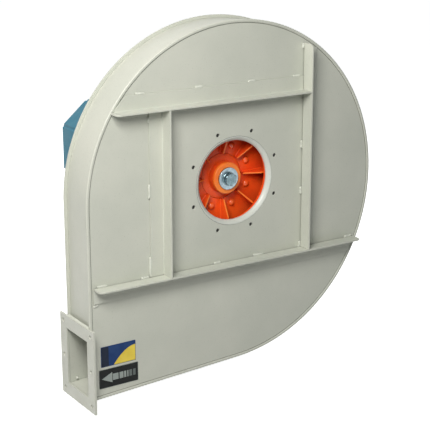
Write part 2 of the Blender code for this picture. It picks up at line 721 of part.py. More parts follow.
def motor_frame():
    """The finned barrel with its feet, its terminal box pad and its lifting boss."""
    points = []
    half = FIN_THICKNESS / 2
    for i in range(FINS):
        angle = 2 * math.pi * i / FINS
        root = math.asin(half / BARREL_RADIUS)
        tip = math.asin(half / FIN_TIP_RADIUS)
        for radius, turn in ((BARREL_RADIUS, -root), (FIN_TIP_RADIUS, -tip), (FIN_TIP_RADIUS, tip),
                             (BARREL_RADIUS, root)):
            points.append((radius * math.cos(angle + turn), radius * math.sin(angle + turn)))
    bore = circle(0, 0, BARREL_BORE_RADIUS, 48)
    frame = flat("motor_frame", [points, bore], BARREL_FRONT, BARREL_REAR, MOTOR_PAINT)
    feet = []
    first = MOTOR_FRONT + FIRST_FOOT - FOOT_END
    last = MOTOR_FRONT + FIRST_FOOT + FOOT_SPACING_Y + FOOT_END
    half_foot = FOOT_SPACING_X / 2
    web = BARREL_RADIUS * math.sin(math.radians(45))
    sole, tread = -MOTOR_HEIGHT, -MOTOR_HEIGHT + FOOT_THICKNESS
    outer_edge = half_foot + FOOT_WIDTH / 2
    inner_edge = half_foot - FOOT_WIDTH / 2
    for side in (-1, 1):
        section = [(outer_edge, sole), (outer_edge, tread), (half_foot - FOOT_THICKNESS, tread),
                   (web + FOOT_THICKNESS, -web), (web, -web + FOOT_THICKNESS),
                   (web - FOOT_THICKNESS, -web), (inner_edge, sole)]
        feet.append(flat(f"foot_{side}", [[(side * x, z) for x, z in section]], first, last,
                         MOTOR_PAINT, "Y", CUTTERS))
    pad_front = BARREL_FRONT + BOX_START + (BOX_SIZE - BOX_PAD) / 2
    pad_low = math.sqrt(BARREL_RADIUS ** 2 - (BOX_PAD / 2) ** 2)
    pad = block("box_pad", (-BOX_PAD / 2, pad_front, pad_low),
                (BOX_PAD / 2, pad_front + BOX_PAD, box_base()), MOTOR_PAINT, CUTTERS)
    boss_y = BARREL_FRONT + EYE_START
    boss = rod("eye_boss", EYE_COLLAR_RADIUS, (0, boss_y, BARREL_RADIUS - FIN_THICKNESS),
               (0, boss_y, eye_seat()), MOTOR_PAINT, 16, CUTTERS)
    frame = join(frame, *feet, pad, boss)
    holes = [rod(f"foot_hole_{i}", FOOT_BOLT_RADIUS + GAP, (x, y, sole - FOOT_THICKNESS),
                 (x, y, tread + FOOT_THICKNESS), STEEL, HOLE_SIDES, CUTTERS)
             for i, (x, y) in enumerate(foot_places())]
    cut(frame, *holes)


def box_base():
    """Height of the seat under the terminal box."""
    return FIN_TIP_RADIUS + FIN_THICKNESS


def eye_seat():
    """Height of the seat under the lifting eye."""
    return FIN_TIP_RADIUS + FIN_THICKNESS / 2


def end_shield(name, face, direction):
    """A bearing shield: the web from the bearing seat out to the spigot in the barrel."""
    seat = BEARING_RADIUS + GAP
    wall = seat + 2 * BEARING_FACE
    web = SHIELD_DEPTH / 2
    deep = BEARING_FACE + BEARING_WIDTH + GAP
    spigot = BARREL_BORE_RADIUS - GAP
    inset = SHIELD_DEPTH - GAP
    bore = JOURNAL_RADIUS + RUNNING_GAP
    nose = SHIELD_DEPTH + BEARING_FACE
    shape = [(bore, 0), (wall, 0), (wall + BEARING_FACE, web / 2), (SHIELD_RADIUS, web),
             (SHIELD_RADIUS, inset), (spigot, inset), (spigot, nose), (spigot - BEARING_FACE, nose),
             (spigot - 2 * BEARING_FACE, inset), (wall, inset), (wall - BEARING_FACE / 2, deep),
             (seat, deep), (seat, BEARING_FACE), (bore, BEARING_FACE)]
    section = [(radius, face + direction * depth) for radius, depth in shape]
    return turned(name, section, MOTOR_PAINT, SHIELD_SIDES)


def bearing(name, face, direction):
    """A sealed ball bearing as one ring, with its seal sunk on the side that faces out."""
    start = BEARING_FACE + GAP
    end = start + BEARING_WIDTH - GAP
    inner = JOURNAL_RADIUS + GAP
    low_ring, high_ring = inner + BEARING_RACE, BEARING_RADIUS - BEARING_RACE
    shape = [(inner, start), (BEARING_RADIUS, start), (BEARING_RADIUS, end), (high_ring, end),
             (high_ring, end - SEAL_DEPTH), (low_ring, end - SEAL_DEPTH), (low_ring, end), (inner, end)]
    section = [(radius, face + direction * depth) for radius, depth in shape]
    return turned(name, section, STEEL, SHIELD_SIDES)


def motor_shells():
    """Shields, bearings and the fan cowl."""
    end_shield("drive_end_shield", MOTOR_FRONT, 1)
    bearing("drive_end_bearing", MOTOR_FRONT, 1)
    rear = end_shield("rear_end_shield", MOTOR_REAR, -1)
    front = BARREL_REAR + GAP
    width = COWL_HALF_WIDTH - COWL_SHEET - GAP
    height = COWL_HALF_HEIGHT - COWL_SHEET - GAP
    inner = BEARING_RADIUS + 3 * BEARING_FACE
    lugs = []
    for side in (-1, 1):
        low, high = sorted((side * inner, side * width))
        lugs.append(block(f"side_lug_{side}", (low, front, -LUG_WIDTH / 2),
                          (high, front + LUG_THICKNESS, LUG_WIDTH / 2), MOTOR_PAINT, CUTTERS))
        low, high = sorted((side * inner, side * height))
        lugs.append(block(f"upright_lug_{side}", (-LUG_WIDTH / 2, front, low),
                          (LUG_WIDTH / 2, front + LUG_THICKNESS, high), MOTOR_PAINT, CUTTERS))
    join(rear, *lugs)
    bearing("rear_end_bearing", MOTOR_REAR, -1)
    fan_cowl()


def octagon(half_width, half_height):
    """A rectangle with its four corners cut off."""
    quarter = [(half_width, half_height - COWL_CHAMFER_HEIGHT),
               (half_width - COWL_CHAMFER_WIDTH, half_height)]
    return (quarter + [(-x, z) for x, z in quarter[::-1]] + [(-x, -z) for x, z in quarter]
            + [(x, -z) for x, z in quarter[::-1]])


def fan_cowl():
    """The eight-sided cowl over the cooling fan, closed at the rear but for its grille."""
    outline = octagon(COWL_HALF_WIDTH, COWL_HALF_HEIGHT)
    shell = flat("fan_cowl", [outline], COWL_FRONT, COWL_REAR, MOTOR_PAINT)
    shape = bmesh.new()
    shape.from_mesh(shell.data)
    bmesh.ops.dissolve_limit(shape, angle_limit=FLAT_ANGLE, verts=shape.verts, edges=shape.edges)
    front = [face for face in shape.faces if all(abs(v.co.y - COWL_FRONT) < MERGE for v in face.verts)]
    bmesh.ops.delete(shape, geom=front, context="FACES_ONLY")
    rim = [edge for edge in shape.edges if not edge.is_boundary]
    bmesh.ops.bevel(shape, geom=rim, offset=COWL_ROUND, segments=3, affect="EDGES", clamp_overlap=True)
    shape.to_mesh(shell.data)
    shape.free()
    wall = shell.modifiers.new("wall", "SOLIDIFY")
    wall.thickness = COWL_SHEET
    wall.offset = -1
    baked(shell)
    slots = []
    count = int(GRILLE_RADIUS / GRILLE_PITCH)
    for i in range(-count, count + 1):
        x = i * GRILLE_PITCH
        reach = math.sqrt(GRILLE_RADIUS ** 2 - (abs(x) + GRILLE_SLOT / 2) ** 2)
        slots.append(block(f"grille_slot_{i + count}",
                           (x - GRILLE_SLOT / 2, COWL_REAR - 2 * COWL_SHEET, -reach),
                           (x + GRILLE_SLOT / 2, COWL_REAR + COWL_SHEET, reach), STEEL, CUTTERS))
    cut(shell, *slots)


def terminal_box():
    """The terminal box on its pad, its lid, and the gland on its side."""
    low_z = box_base() + GAP
    top_z = low_z + BOX_HEIGHT
    half = BOX_SIZE / 2
    front = BARREL_FRONT + BOX_START
    rear = front + BOX_SIZE
    outline = rounded_rectangle(-half, front, half, rear, BOX_ROUND)
    wall = BOX_WALL
    tub = flat("terminal_box", [outline], low_z, top_z, MOTOR_PAINT, "Z")
    hollow = block("box_hollow", (-half + wall, front + wall, low_z + wall),
                   (half - wall, rear - wall, top_z + wall), STEEL, CUTTERS)
    gland_z = low_z + BOX_HEIGHT / 2
    gland_y = (front + rear) / 2
    hole = rod("gland_hole", GLAND_NECK_RADIUS + GAP, (half - 2 * wall, gland_y, gland_z),
               (half + wall, gland_y, gland_z), STEEL, 16, CUTTERS)
    cut(tub, hollow, hole)
    margin = wall / 3
    rim = rounded_rectangle(-half - margin, front - margin, half + margin, rear + margin, BOX_ROUND)
    smooth(flat("terminal_box_lid", [rim], top_z + GAP, top_z + GAP + BOX_LID, MOTOR_PAINT, "Z"))
    nut = rod("cable_gland", GLAND_RADIUS, (half + GAP, gland_y, gland_z),
              (half + GLAND_LENGTH / 2, gland_y, gland_z), BLACK_PLASTIC, 6)
    neck = rod("gland_neck", GLAND_NECK_RADIUS, (half - wall, gland_y, gland_z),
               (half + GLAND_LENGTH, gland_y, gland_z), BLACK_PLASTIC, 16, CUTTERS)
    join(nut, neck)
    bore = rod("gland_bore", GLAND_BORE_RADIUS, (half - 3 * wall, gland_y, gland_z),
               (half + 2 * GLAND_LENGTH, gland_y, gland_z), STEEL, 16, CUTTERS)
    cut(nut, bore)


def rounded_rectangle(x0, z0, x1, z1, radius):
    """A rectangle with round corners."""
    corners = ((x1 - radius, z0 + radius, -90), (x1 - radius, z1 - radius, 0),
               (x0 + radius, z1 - radius, 90), (x0 + radius, z0 + radius, 180))
    return [point for x, z, start in corners
            for point in arc(x, z, radius, start, start + 90, CORNER_STEP)]


def lifting_eye():
    """A ring on a collar, screwed into the boss on top of the barrel."""
    y = BARREL_FRONT + EYE_START
    seat = eye_seat() + GAP
    collar = rod("lifting_eye", EYE_COLLAR_RADIUS, (0, y, seat), (0, y, seat + EYE_WIRE_RADIUS), ZINC)
    centre = seat + EYE_WIRE_RADIUS + EYE_RING_RADIUS
    ring = turned("eye_ring", circle(EYE_RING_RADIUS, 0, EYE_WIRE_RADIUS, 8), ZINC, 16, CUTTERS)
    ring.location = (0, y, centre)
    bpy.context.view_layer.update()
    join(collar, ring)


def shroud_profile(offset, extra=0.0):
    """The shroud's section from its collar to its rim, offset toward the casing's front."""
    bend_r = EYE_RADIUS + SHROUD_BEND_RADIUS
    bend_y = SHROUD_COLLAR_FRONT + SHROUD_COLLAR
    radius = SHROUD_BEND_RADIUS - offset
    points = [(EYE_RADIUS + offset, SHROUD_COLLAR_FRONT)]
    points += arc(bend_r, bend_y, radius, 180, 90 + SHROUD_SLOPE, CORNER_STEP)
    end_r, end_y = points[-1]
    rim = IMPELLER_RADIUS - extra
    points.append((rim, end_y + (rim - end_r) * math.tan(math.radians(SHROUD_SLOPE))))
    return points


def impeller():
    """The disc, the front shroud and the blades between them."""
    rivets = [circle(RIVET_CIRCLE_RADIUS * math.cos(a), RIVET_CIRCLE_RADIUS * math.sin(a),
                     RIVET_SHANK_RADIUS + GAP, HOLE_SIDES) for a in rivet_angles()]
    hub_hole = circle(0, 0, HUB_BODY_RADIUS + GAP, 32)
    disc = flat("back_disc", [circle(0, 0, IMPELLER_RADIUS, 48), hub_hole] + rivets,
                DISC_FRONT, DISC_REAR, IMPELLER_PAINT)
    smooth(disc)
    inner = shroud_profile(0)
    outer = shroud_profile(SHROUD_SHEET)
    turned("front_shroud", inner + outer[::-1], IMPELLER_PAINT)
    edge = shroud_profile(-GAP, BLADE_SHEET)[1:]
    rear = DISC_FRONT - GAP
    clear = [point for point in edge if point[1] > BLADE_EYE_FRONT]
    rim = edge[-1][0]
    shape = [(BLADE_INNER_RADIUS, rear), (BLADE_INNER_RADIUS, BLADE_INNER_FRONT),
             (THROAT_RADIUS - GAP, BLADE_EYE_FRONT)] + clear + [(rim, rear)]
    blade = flat("blade_1", [[(radius, y) for radius, y in shape]], -BLADE_SHEET / 2, BLADE_SHEET / 2,
                 IMPELLER_PAINT, "Z")
    blade.rotation_euler.y = -math.radians(BLADE_PHASE)
    for i in range(1, BLADES):
        copy = bpy.data.objects.new(f"blade_{i + 1}", blade.data)
        copy.rotation_euler.y = -math.radians(BLADE_PHASE) - 2 * math.pi * i / BLADES
        FAN.objects.link(copy)


def rivet_angles():
    """Directions of the rivets, halfway between the blades."""
    return [math.radians(BLADE_PHASE) + 2 * math.pi * (i + 0.5) / BLADES for i in range(BLADES)]


def hub():
    """The hub with its flange behind the disc and its rivets through the disc."""
    bore = SHAFT_RADIUS + GAP
    flange_front = DISC_REAR + GAP
    flange_rear = flange_front + HUB_FLANGE
    hub_rear = flange_rear + HUB_TAIL
    profile = [(bore, HUB_FRONT), (HUB_NOSE_RADIUS, HUB_FRONT), (HUB_NOSE_RADIUS, HUB_STEP),
               (HUB_BODY_RADIUS, HUB_STEP), (HUB_BODY_RADIUS, flange_front),
               (HUB_FLANGE_RADIUS, flange_front), (HUB_FLANGE_RADIUS, flange_rear),
               (HUB_TAIL_RADIUS, flange_rear), (HUB_TAIL_RADIUS, hub_rear), (bore, hub_rear)]
    body = turned("impeller_hub", profile, IMPELLER_PAINT, 36)
    seat = DISC_FRONT - GAP
    rivets = []
    for i, angle in enumerate(rivet_angles()):
        section = [(0, seat - RIVET_HEAD_HEIGHT), (RIVET_SHANK_RADIUS, seat - RIVET_HEAD_HEIGHT),
                   (RIVET_HEAD_RADIUS, seat - RIVET_HEAD_HEIGHT / 2), (RIVET_HEAD_RADIUS, seat),
                   (RIVET_SHANK_RADIUS, seat), (RIVET_SHANK_RADIUS, flange_front + HUB_FLANGE / 2),
                   (0, flange_front + HUB_FLANGE / 2)]
        rivet = turned(f"rivet_{i + 1}", section, IMPELLER_PAINT, 8, CUTTERS)
        rivet.location = RIVET_CIRCLE_RADIUS * Vector((math.cos(angle), 0, math.sin(angle)))
        rivets.append(rivet)
    bpy.context.view_layer.update()
    join(body, *rivets)
    half = KEY_WIDTH / 2 + GAP
    keyway = block("hub_keyway", (-half, 0, 0), (half, HUB_STEP * 3, key_top() + GAP), STEEL, CUTTERS)
    cut(body, keyway)


def key_top():
    """Height of the key's top face over the shaft axis."""
    return SHAFT_RADIUS - KEY_DEPTH + KEY_HEIGHT


def hub_fasteners():
    """The washer over the hub's end and the bolt into the shaft."""
    face = HUB_FRONT - GAP
    front = face - WASHER_THICKNESS
    hole = HUB_BOLT_RADIUS + GAP
    washer = [(hole, front), (WASHER_RADIUS, front), (WASHER_RADIUS, face), (hole, face)]
    turned("hub_washer", washer, ZINC, 36)
    head = front - GAP
    shank = rod("hub_bolt", HUB_BOLT_RADIUS, (0, head - HUB_BOLT_HEAD / 2, 0),
                (0, head + HUB_BOLT_LENGTH, 0), ZINC)
    hexagon = rod("hub_bolt_head", HUB_BOLT_HEAD_RADIUS, (0, head - HUB_BOLT_HEAD, 0), (0, head, 0),
                  ZINC, 6, CUTTERS)
    join(shank, hexagon)


def shaft():
    """The motor shaft from the hub to the cooling fan, with the key and the rotor core on it."""
    front = HUB_FRONT + SHAFT_RECESS
    shoulder = MOTOR_FRONT
    step_in = MOTOR_FRONT + BEARING_FACE + BEARING_WIDTH + 2 * GAP
    step_out = MOTOR_REAR - BEARING_FACE - BEARING_WIDTH - 2 * GAP
    hole = HUB_BOLT_RADIUS + GAP
    deep = HUB_FRONT + HUB_BOLT_LENGTH + SHAFT_RECESS
    end = MOTOR_REAR + COOLING_FAN_DEPTH
    core = CORE_SHAFT_RADIUS
    profile = [(0, deep), (hole, deep), (hole, front), (SHAFT_RADIUS, front), (SHAFT_RADIUS, shoulder),
               (JOURNAL_RADIUS, shoulder), (JOURNAL_RADIUS, step_in), (core, step_in), (core, step_out),
               (JOURNAL_RADIUS, step_out), (JOURNAL_RADIUS, MOTOR_REAR), (FAN_SHAFT_RADIUS, MOTOR_REAR),
               (FAN_SHAFT_RADIUS, end), (0, end)]
    body = turned("rotor_shaft", profile, STEEL, 24)
    key_front = front + 2 * KEY_DEPTH
    half = KEY_WIDTH / 2
    floor = SHAFT_RADIUS - KEY_DEPTH
    seat = block("key_seat", (-half - GAP, key_front - GAP, floor - GAP),
                 (half + GAP, key_front + KEY_LENGTH + GAP, core), STEEL, CUTTERS)
    cut(body, seat)
    block("shaft_key", (-half, key_front, floor), (half, key_front + KEY_LENGTH, key_top()), STEEL)
    core_ring("rotor_core", core + GAP, ROTOR_RADIUS)
    core_ring("stator_core", ROTOR_RADIUS + AIR_GAP, BARREL_BORE_RADIUS - GAP)


def core_ring(name, inner, outer):
    """A laminated ring over the length of the motor's cores."""
    front, rear = CORE_FRONT, CORE_FRONT + CORE_LENGTH
    turned(name, [(inner, front), (outer, front), (outer, rear), (inner, rear)], CORE_STEEL, 32)


def cooling_fan():
    """The motor's own cooling fan: a disc with straight arms on a short hub."""
    front = MOTOR_REAR + 4 * RUNNING_GAP
    rear = front + COOLING_FAN_DEPTH - 8 * RUNNING_GAP
    bore = FAN_SHAFT_RADIUS + GAP
    wall = bore + 2 * COOLING_FAN_DISC
    disc_rear = front + COOLING_FAN_DISC
    profile = [(bore, front), (COOLING_FAN_RADIUS, front), (COOLING_FAN_RADIUS, disc_rear),
               (wall, disc_rear), (wall, rear), (bore, rear)]
    body = turned("cooling_fan", profile, BLACK_PLASTIC, 28)
    half = COOLING_FAN_DISC / 2
    arms = []
    for i in range(COOLING_FAN_ARMS):
        arm = block(f"fan_arm_{i + 1}", (wall - half, front + half, -half),
                    (COOLING_FAN_RADIUS - half, rear - half, half), BLACK_PLASTIC, CUTTERS)
        arm.rotation_euler.y = 2 * math.pi * i / COOLING_FAN_ARMS
        arms.append(arm)
    bpy.context.view_layer.update()
    join(body, *arms)


def labels():
    """Two thin labels on the front plate beside the outlet."""
    corner = bottom_height(LEFT_WALL, 0)
    for name, rise, width, height, finish in (
            ("airflow_label", AIRFLOW_LABEL_RISE, AIRFLOW_LABEL_WIDTH, AIRFLOW_LABEL_HEIGHT, BLACK_LABEL),
            ("plain_label", PLAIN_LABEL_RISE, PLAIN_LABEL_WIDTH, PLAIN_LABEL_HEIGHT, BLUE_LABEL)):
        z = corner + rise
        x0 = LABEL_CENTRE_X - width / 2
        block(name, (x0, -GAP - LABEL_SHEET, z - height / 2),
              (x0 + width, -GAP, z + height / 2), finish)


def stand_on_floor():
    """Parent everything to one empty and move it so that the origin is under the fan's middle."""
    left = LEFT_WALL - GAP - FLANGE_THICKNESS
    centre_x, _, radius = scroll_arcs()[0]
    right = centre_x + radius
    origin = bpy.data.objects.new("shaft_axis", None)
    FAN.objects.link(origin)
    for item in list(bpy.data.objects):
        if item is not origin:
            item.parent = origin
    origin.location = (-(left + right) / 2, -(COWL_REAR - ANGLE_LEG) / 2, SHAFT_HEIGHT)


casing()
inlet_cone()
front_angles()
rear_angles()
shaft_seal_plate()
pedestal()
fasteners()
motor_frame()
motor_shells()
terminal_box()
lifting_eye()
shaft()
cooling_fan()
impeller()
hub()
hub_fasteners()
labels()
stand_on_floor()
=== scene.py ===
"""Looks of the centrifugal fan: detailed pieces, materials, light and camera around the CAD frame.

The pieces are drawn around the shaft axis, which runs along Y, with Y = 0 at the front face of
the casing, as in the part's source. ORIGIN moves them to where the frame's nodes are.
"""
import math
import random
from functools import partial

import bmesh
import bpy
from mathutils import Matrix, Vector


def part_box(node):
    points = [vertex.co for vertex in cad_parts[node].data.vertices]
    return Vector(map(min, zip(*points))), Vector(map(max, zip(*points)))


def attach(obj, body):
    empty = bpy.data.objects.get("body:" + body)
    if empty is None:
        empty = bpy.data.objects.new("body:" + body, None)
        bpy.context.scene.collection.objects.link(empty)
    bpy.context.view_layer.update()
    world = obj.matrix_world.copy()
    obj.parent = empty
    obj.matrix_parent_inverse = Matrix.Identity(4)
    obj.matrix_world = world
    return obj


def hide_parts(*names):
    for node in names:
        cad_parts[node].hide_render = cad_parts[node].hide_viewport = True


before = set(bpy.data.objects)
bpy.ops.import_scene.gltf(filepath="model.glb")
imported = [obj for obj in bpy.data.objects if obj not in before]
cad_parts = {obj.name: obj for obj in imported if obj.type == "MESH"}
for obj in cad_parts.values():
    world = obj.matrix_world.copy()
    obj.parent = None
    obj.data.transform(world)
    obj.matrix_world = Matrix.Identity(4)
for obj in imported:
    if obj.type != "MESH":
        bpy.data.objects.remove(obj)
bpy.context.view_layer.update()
random.seed(11)

# Where the drawing's origin is in the frame
SHAFT_LOW, SHAFT_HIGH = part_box("rotor_shaft")
PLATE_LOW, PLATE_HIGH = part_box("front_side_plate")
ORIGIN = Vector(((SHAFT_LOW[0] + SHAFT_HIGH[0]) / 2, PLATE_LOW[1], (SHAFT_LOW[2] + SHAFT_HIGH[2]) / 2))

# Sizes of the part's solids, in metres, and angles in degrees
GAP = 0.0003
MERGE = 0.00001
CASING_DEPTH = 0.117
SIDE_PLATE = 0.004
WRAPPER_SHEET = 0.003
PLATE_LIP = 0.008
SCROLL_CENTRE_X = 0.003
SCROLL_CENTRE_Z = -0.0195
SCROLL_RADIUS = 0.424
SCROLL_STEP = 0.012
OUTLET_FALL = 2.8
DUCT_TOP = -0.342
FLANGE_BORDER = 0.034
FLANGE_THICKNESS = 0.006
HOLE_RADIUS = 0.005
INLET_OPENING_RADIUS = 0.1146
THROAT_RADIUS = 0.1025
CONE_SHEET = 0.0025
CONE_DEPTH = 0.010
CONE_COLLAR = 0.003
INLET_BOLT_CIRCLE_RADIUS = 0.1325
INLET_HOLES = 8
ANGLE_HEEL = 0.2085
ANGLE_LEG = 0.040
ANGLE_SHEET = 0.004
ANGLE_END_ROUND = 0.014
TOP_ANGLE_INSET = 0.0025
BOTTOM_ANGLE_INSET = 0.0145
RIGHT_ANGLE_INSET = 0.021
ANGLE_FAR_INSET = 0.012
IMPELLER_RADIUS = 0.330
BLADES = 8
BLADE_PHASE = 0.5
BLADE_SHEET = 0.004
BLADE_INNER_RADIUS = 0.060
BLADE_INNER_FRONT = 0.050
BLADE_EYE_FRONT = 0.030
DISC_FRONT = 0.063
DISC_SHEET = 0.004
SHROUD_SHEET = 0.003
SHROUD_COLLAR_FRONT = 0.018
SHROUD_COLLAR = 0.006
SHROUD_BEND_RADIUS = 0.010
SHROUD_SLOPE = 2.0
EYE_RADIUS = THROAT_RADIUS + CONE_SHEET + 0.003
TONGUE_GAP = 0.030
TONGUE_NOSE_RADIUS = 0.015
TONGUE_LEAN = 48.0
HUB_FRONT = 0.032
HUB_NOSE_RADIUS = 0.0405
HUB_STEP = 0.060
HUB_FLANGE_RADIUS = 0.100
HUB_FLANGE = 0.010
HUB_TAIL_RADIUS = 0.045
HUB_TAIL = 0.004
RIVET_CIRCLE_RADIUS = 0.082
RIVET_HEAD_RADIUS = 0.0075
RIVET_HEAD_HEIGHT = 0.006
WASHER_RADIUS = 0.0288
WASHER_THICKNESS = 0.005
HUB_BOLT_RADIUS = 0.010
HUB_BOLT_HEAD_RADIUS = 0.0173
HUB_BOLT_HEAD = 0.0125
SHAFT_RADIUS = 0.021
SEAL_RADIUS = 0.080
SEAL_SHEET = 0.003
SHAFT_CLEARANCE = 0.0015
SHAFT_OPENING_RADIUS = 0.055
MOTOR_HEIGHT = 0.132
MOTOR_FRONT = 0.147
SHIELD_DEPTH = 0.025
BARREL_LENGTH = 0.280
BARREL_BORE_RADIUS = 0.1015
FIN_TIP_RADIUS = 0.127
FIN_THICKNESS = 0.004
SHIELD_RADIUS = 0.124
SHIELD_BOLT_CIRCLE = 0.112
FOOT_SPACING_X = 0.216
FOOT_SPACING_Y = 0.178
FIRST_FOOT = 0.100
FOOT_THICKNESS = 0.014
FOOT_BOLT_RADIUS = 0.006
BEARING_WIDTH = 0.024
BEARING_RADIUS = 0.050
BEARING_FACE = 0.005
JOURNAL_RADIUS = 0.0225
COWL_HALF_WIDTH = 0.195
COWL_HALF_HEIGHT = 0.1305
COWL_CHAMFER_WIDTH = 0.077
COWL_CHAMFER_HEIGHT = 0.066
COWL_ROUND = 0.006
COWL_SHEET = 0.0025
COWL_FRONT = 0.448
COWL_REAR = 0.578
GRILLE_RADIUS = 0.112
GRILLE_SLOT = 0.009
GRILLE_PITCH = 0.020
LUG_WIDTH = 0.030
LUG_THICKNESS = 0.010
BOX_SIZE = 0.140
BOX_HEIGHT = 0.062
BOX_WALL = 0.006
BOX_LID = 0.010
BOX_START = 0.062
BOX_ROUND = 0.010
GLAND_RADIUS = 0.016
GLAND_LENGTH = 0.034
GLAND_NECK_RADIUS = 0.011
GLAND_BORE_RADIUS = 0.008
EYE_COLLAR_RADIUS = 0.015
EYE_RING_RADIUS = 0.020
EYE_WIRE_RADIUS = 0.006
EYE_START = 0.235
PEDESTAL_HALF_WIDTH = 0.131
PEDESTAL_SHEET = 0.005
PEDESTAL_LENGTH = 0.400
PEDESTAL_FRONT = 0.170
TOP_PLATE = 0.010
TOP_PLATE_MARGIN = 0.010
RAIL_WIDTH = 0.050
RAIL_THICKNESS = 0.008
RAIL_START = 0.185
RAIL_TOE = 0.035
RAIL_HOLE_RADIUS = 0.007
RAIL_HOLE_END = 0.030
REAR_ANGLE_TOP = -0.060
CASING_BOLT_RADIUS = 0.005
LABEL_SHEET = 0.0006
LABEL_FROM_WALL = 0.077
AIRFLOW_LABEL_RISE = 0.0525
AIRFLOW_LABEL_WIDTH = 0.109
AIRFLOW_LABEL_HEIGHT = 0.049
PLAIN_LABEL_RISE = 0.110
PLAIN_LABEL_WIDTH = 0.097
PLAIN_LABEL_HEIGHT = 0.053

# Sizes of the finer shapes, in metres, and the step of round outlines in degrees
FINE_STEP = 1.5
HEM_WIDTH = 0.008
HEM_RISE = 0.0026
SEAM_WIDTH = 0.0014
SEAL_SHADE_STRIP = 0.0018
SEAL_SCREW_CIRCLE = 0.069
TOP_ANGLE_NOTCH = 0.009
HEAD_COLLAR = 0.0022
LABEL_PRINT = 0.0001
BLADE_HIGHLIGHT_NORMAL = -0.6
SHEET_EDGE = 0.0006
HEEL_OUTER_ROUND = 0.006
HEEL_INNER_ROUND = 0.002
BEAD_PITCH = 0.0045
BEAD_STEP = 0.0011
DROP_PITCH = 0.0055
DROP_RADIUS = 0.0024
DROP_SEAT = 0.0016
DROP_DRIFT = 0.0014

# Places that follow from the sizes
LEFT_WALL = SCROLL_CENTRE_X - SCROLL_RADIUS
WRAPPER_OUTSET = PLATE_LIP + WRAPPER_SHEET
LABEL_CENTRE_X = LEFT_WALL + LABEL_FROM_WALL
DISC_REAR = DISC_FRONT + DISC_SHEET
BARREL_FRONT = MOTOR_FRONT + SHIELD_DEPTH
BARREL_REAR = BARREL_FRONT + BARREL_LENGTH
MOTOR_REAR = BARREL_REAR + SHIELD_DEPTH
PEDESTAL_TOP = -MOTOR_HEIGHT - GAP
HUB_BODY_RADIUS = BLADE_INNER_RADIUS - 2 * GAP
FLOOR = -ORIGIN.z

# A bolt head's profile as shares of its height and of its flat radius
HEAD_LEVELS = ((0.0, 0.97), (0.05, 1.01), (0.3, 1.2), (0.72, 1.2), (0.86, 1.09), (0.95, 1.0), (1.0, 0.9))

# A weld bead's shape as shares of its size: the dips between ripples, the ripples over them, how uneven
# the ripples are, how far the run wanders, how long its ends taper, their least size, and the foot
BEAD_DIP = 0.86
BEAD_RIPPLE = 0.2
BEAD_UNEVEN = 0.07
BEAD_WANDER = 0.06
BEAD_TAPER = 0.6
BEAD_END = 0.02
BEAD_FOOT = 0.5

# Small screws: the radius and height of their heads
SEAL_SCREW = (0.005, 0.003)
SHIELD_SCREW = (0.0075, 0.0055)
COWL_SCREW = (0.0055, 0.0032)
BOX_SCREW = (0.0052, 0.003)
BOX_SCREW_X = 0.056
BOX_SCREW_INSET = 0.014

# Bolts: the length of their shanks and the thickness of their washers
FOOT_BOLT = (0.030, 0.0016)
CASING_BOLT = (0.014, 0.0014)

# Roundness: points round a turned piece, and the angles in degrees over which edges stay sharp
ROUND = 96
FINE_ROUND = 144
SHAFT_ROUND = 64
TURNED_ANGLE = 50
HEAD_ANGLE = 40
WELD_ANGLE = 60

# The labels' corners, border and margin, and shares of their width or height
LABEL_ROUND = 0.0015
BORDER_WIDTH = 0.0008
BORDER_ROUND = 0.001
LABEL_MARGIN = 0.001
ARROW_TIP = 0.06
ARROW_END = 0.33
ARROW_WING = 0.275
BAR_HALF_HEIGHT = 0.17
STRIP_END = 0.22
CORNER_START = 0.36
CORNER_TOP = 0.8
CORNER_BEND = 1.9

# A bolt's sizes as shares of its shank's radius
BOLT_HEAD_SHARE = 1.7
BOLT_HEIGHT_SHARE = 1.3
WASHER_SHARE = 2.0

# Where the stitch welds lie along what they hold, as start and end or as one place
LEFT_ANGLE_STITCHES = ((0.178, 0.192), (-0.010, 0.027), (-0.208, -0.157))
RIGHT_ANGLE_STITCHES = ((0.318, 0.332), (0.058, 0.080), (-0.066, -0.044), (-0.207, -0.193))
TOP_ANGLE_STITCHES = ((-0.283, -0.259), (-0.118, -0.096), (0.037, 0.060), (0.176, 0.198))
BOTTOM_ANGLE_STITCHES = ((-0.397, -0.370), (-0.276, -0.254), (-0.064, -0.042), (0.058, 0.090), (0.200, 0.220),
                         (0.360, 0.386))
TOP_ANGLE_UNDER_STITCHES = (-0.330, -0.150, 0.030, 0.190)
REAR_ANGLE_STITCHES = (-0.10, -0.20, -0.31, -0.41)
RAIL_STITCHES = (0.24, 0.34, 0.46)
STAND_TOP_STITCHES = (0.20, 0.32, 0.44)
STAND_UPRIGHT_STITCHES = (-0.48, -0.36, -0.24)

# Cells to the metre of the noises in the materials, and how far the paint's slow waves rise
SPECK_CELLS = 260.0
GLOSS_CELLS = 34.0
WAVE_CELLS = 7.0
PEEL_CELLS = 520.0
STAIN_CELLS = 60.0
MOULD_CELLS = 40.0
MOULD_GLOSS_CELLS = 80.0
WAVE_DEPTH = 0.0012
# The colour of the painted shade in bare metal's corners
METAL_CORNER_SHADE = (36, 44, 46)

# Light: each lamp's place from the drawing's origin, size, watts, colour, and whether mirror rays see it
LAMPS = (
    ("key", (-1.27, -1.22, 1.27), 0.9, 48.6, (1.0, 0.98, 0.945), True),
    ("side", (-1.65, 0.3, 1.75), 0.8, 14.0, (1.0, 0.92, 0.87), True),
    ("back", (0.7, 2.6, 1.2), 1.6, 38.0, (1.0, 1.0, 1.0), False),
    ("far_side", (2.4, 1.0, 0.9), 1.4, 16.0, (1.0, 1.0, 1.0), False),
)
WORLD_TINT = (0.85, 1.0, 1.05, 1)
WORLD_FILL = 0.085
FLOOR_GLOW = 0.945
FLOOR_MATT = 0.8
FLOOR_BOUNCE = 0.45

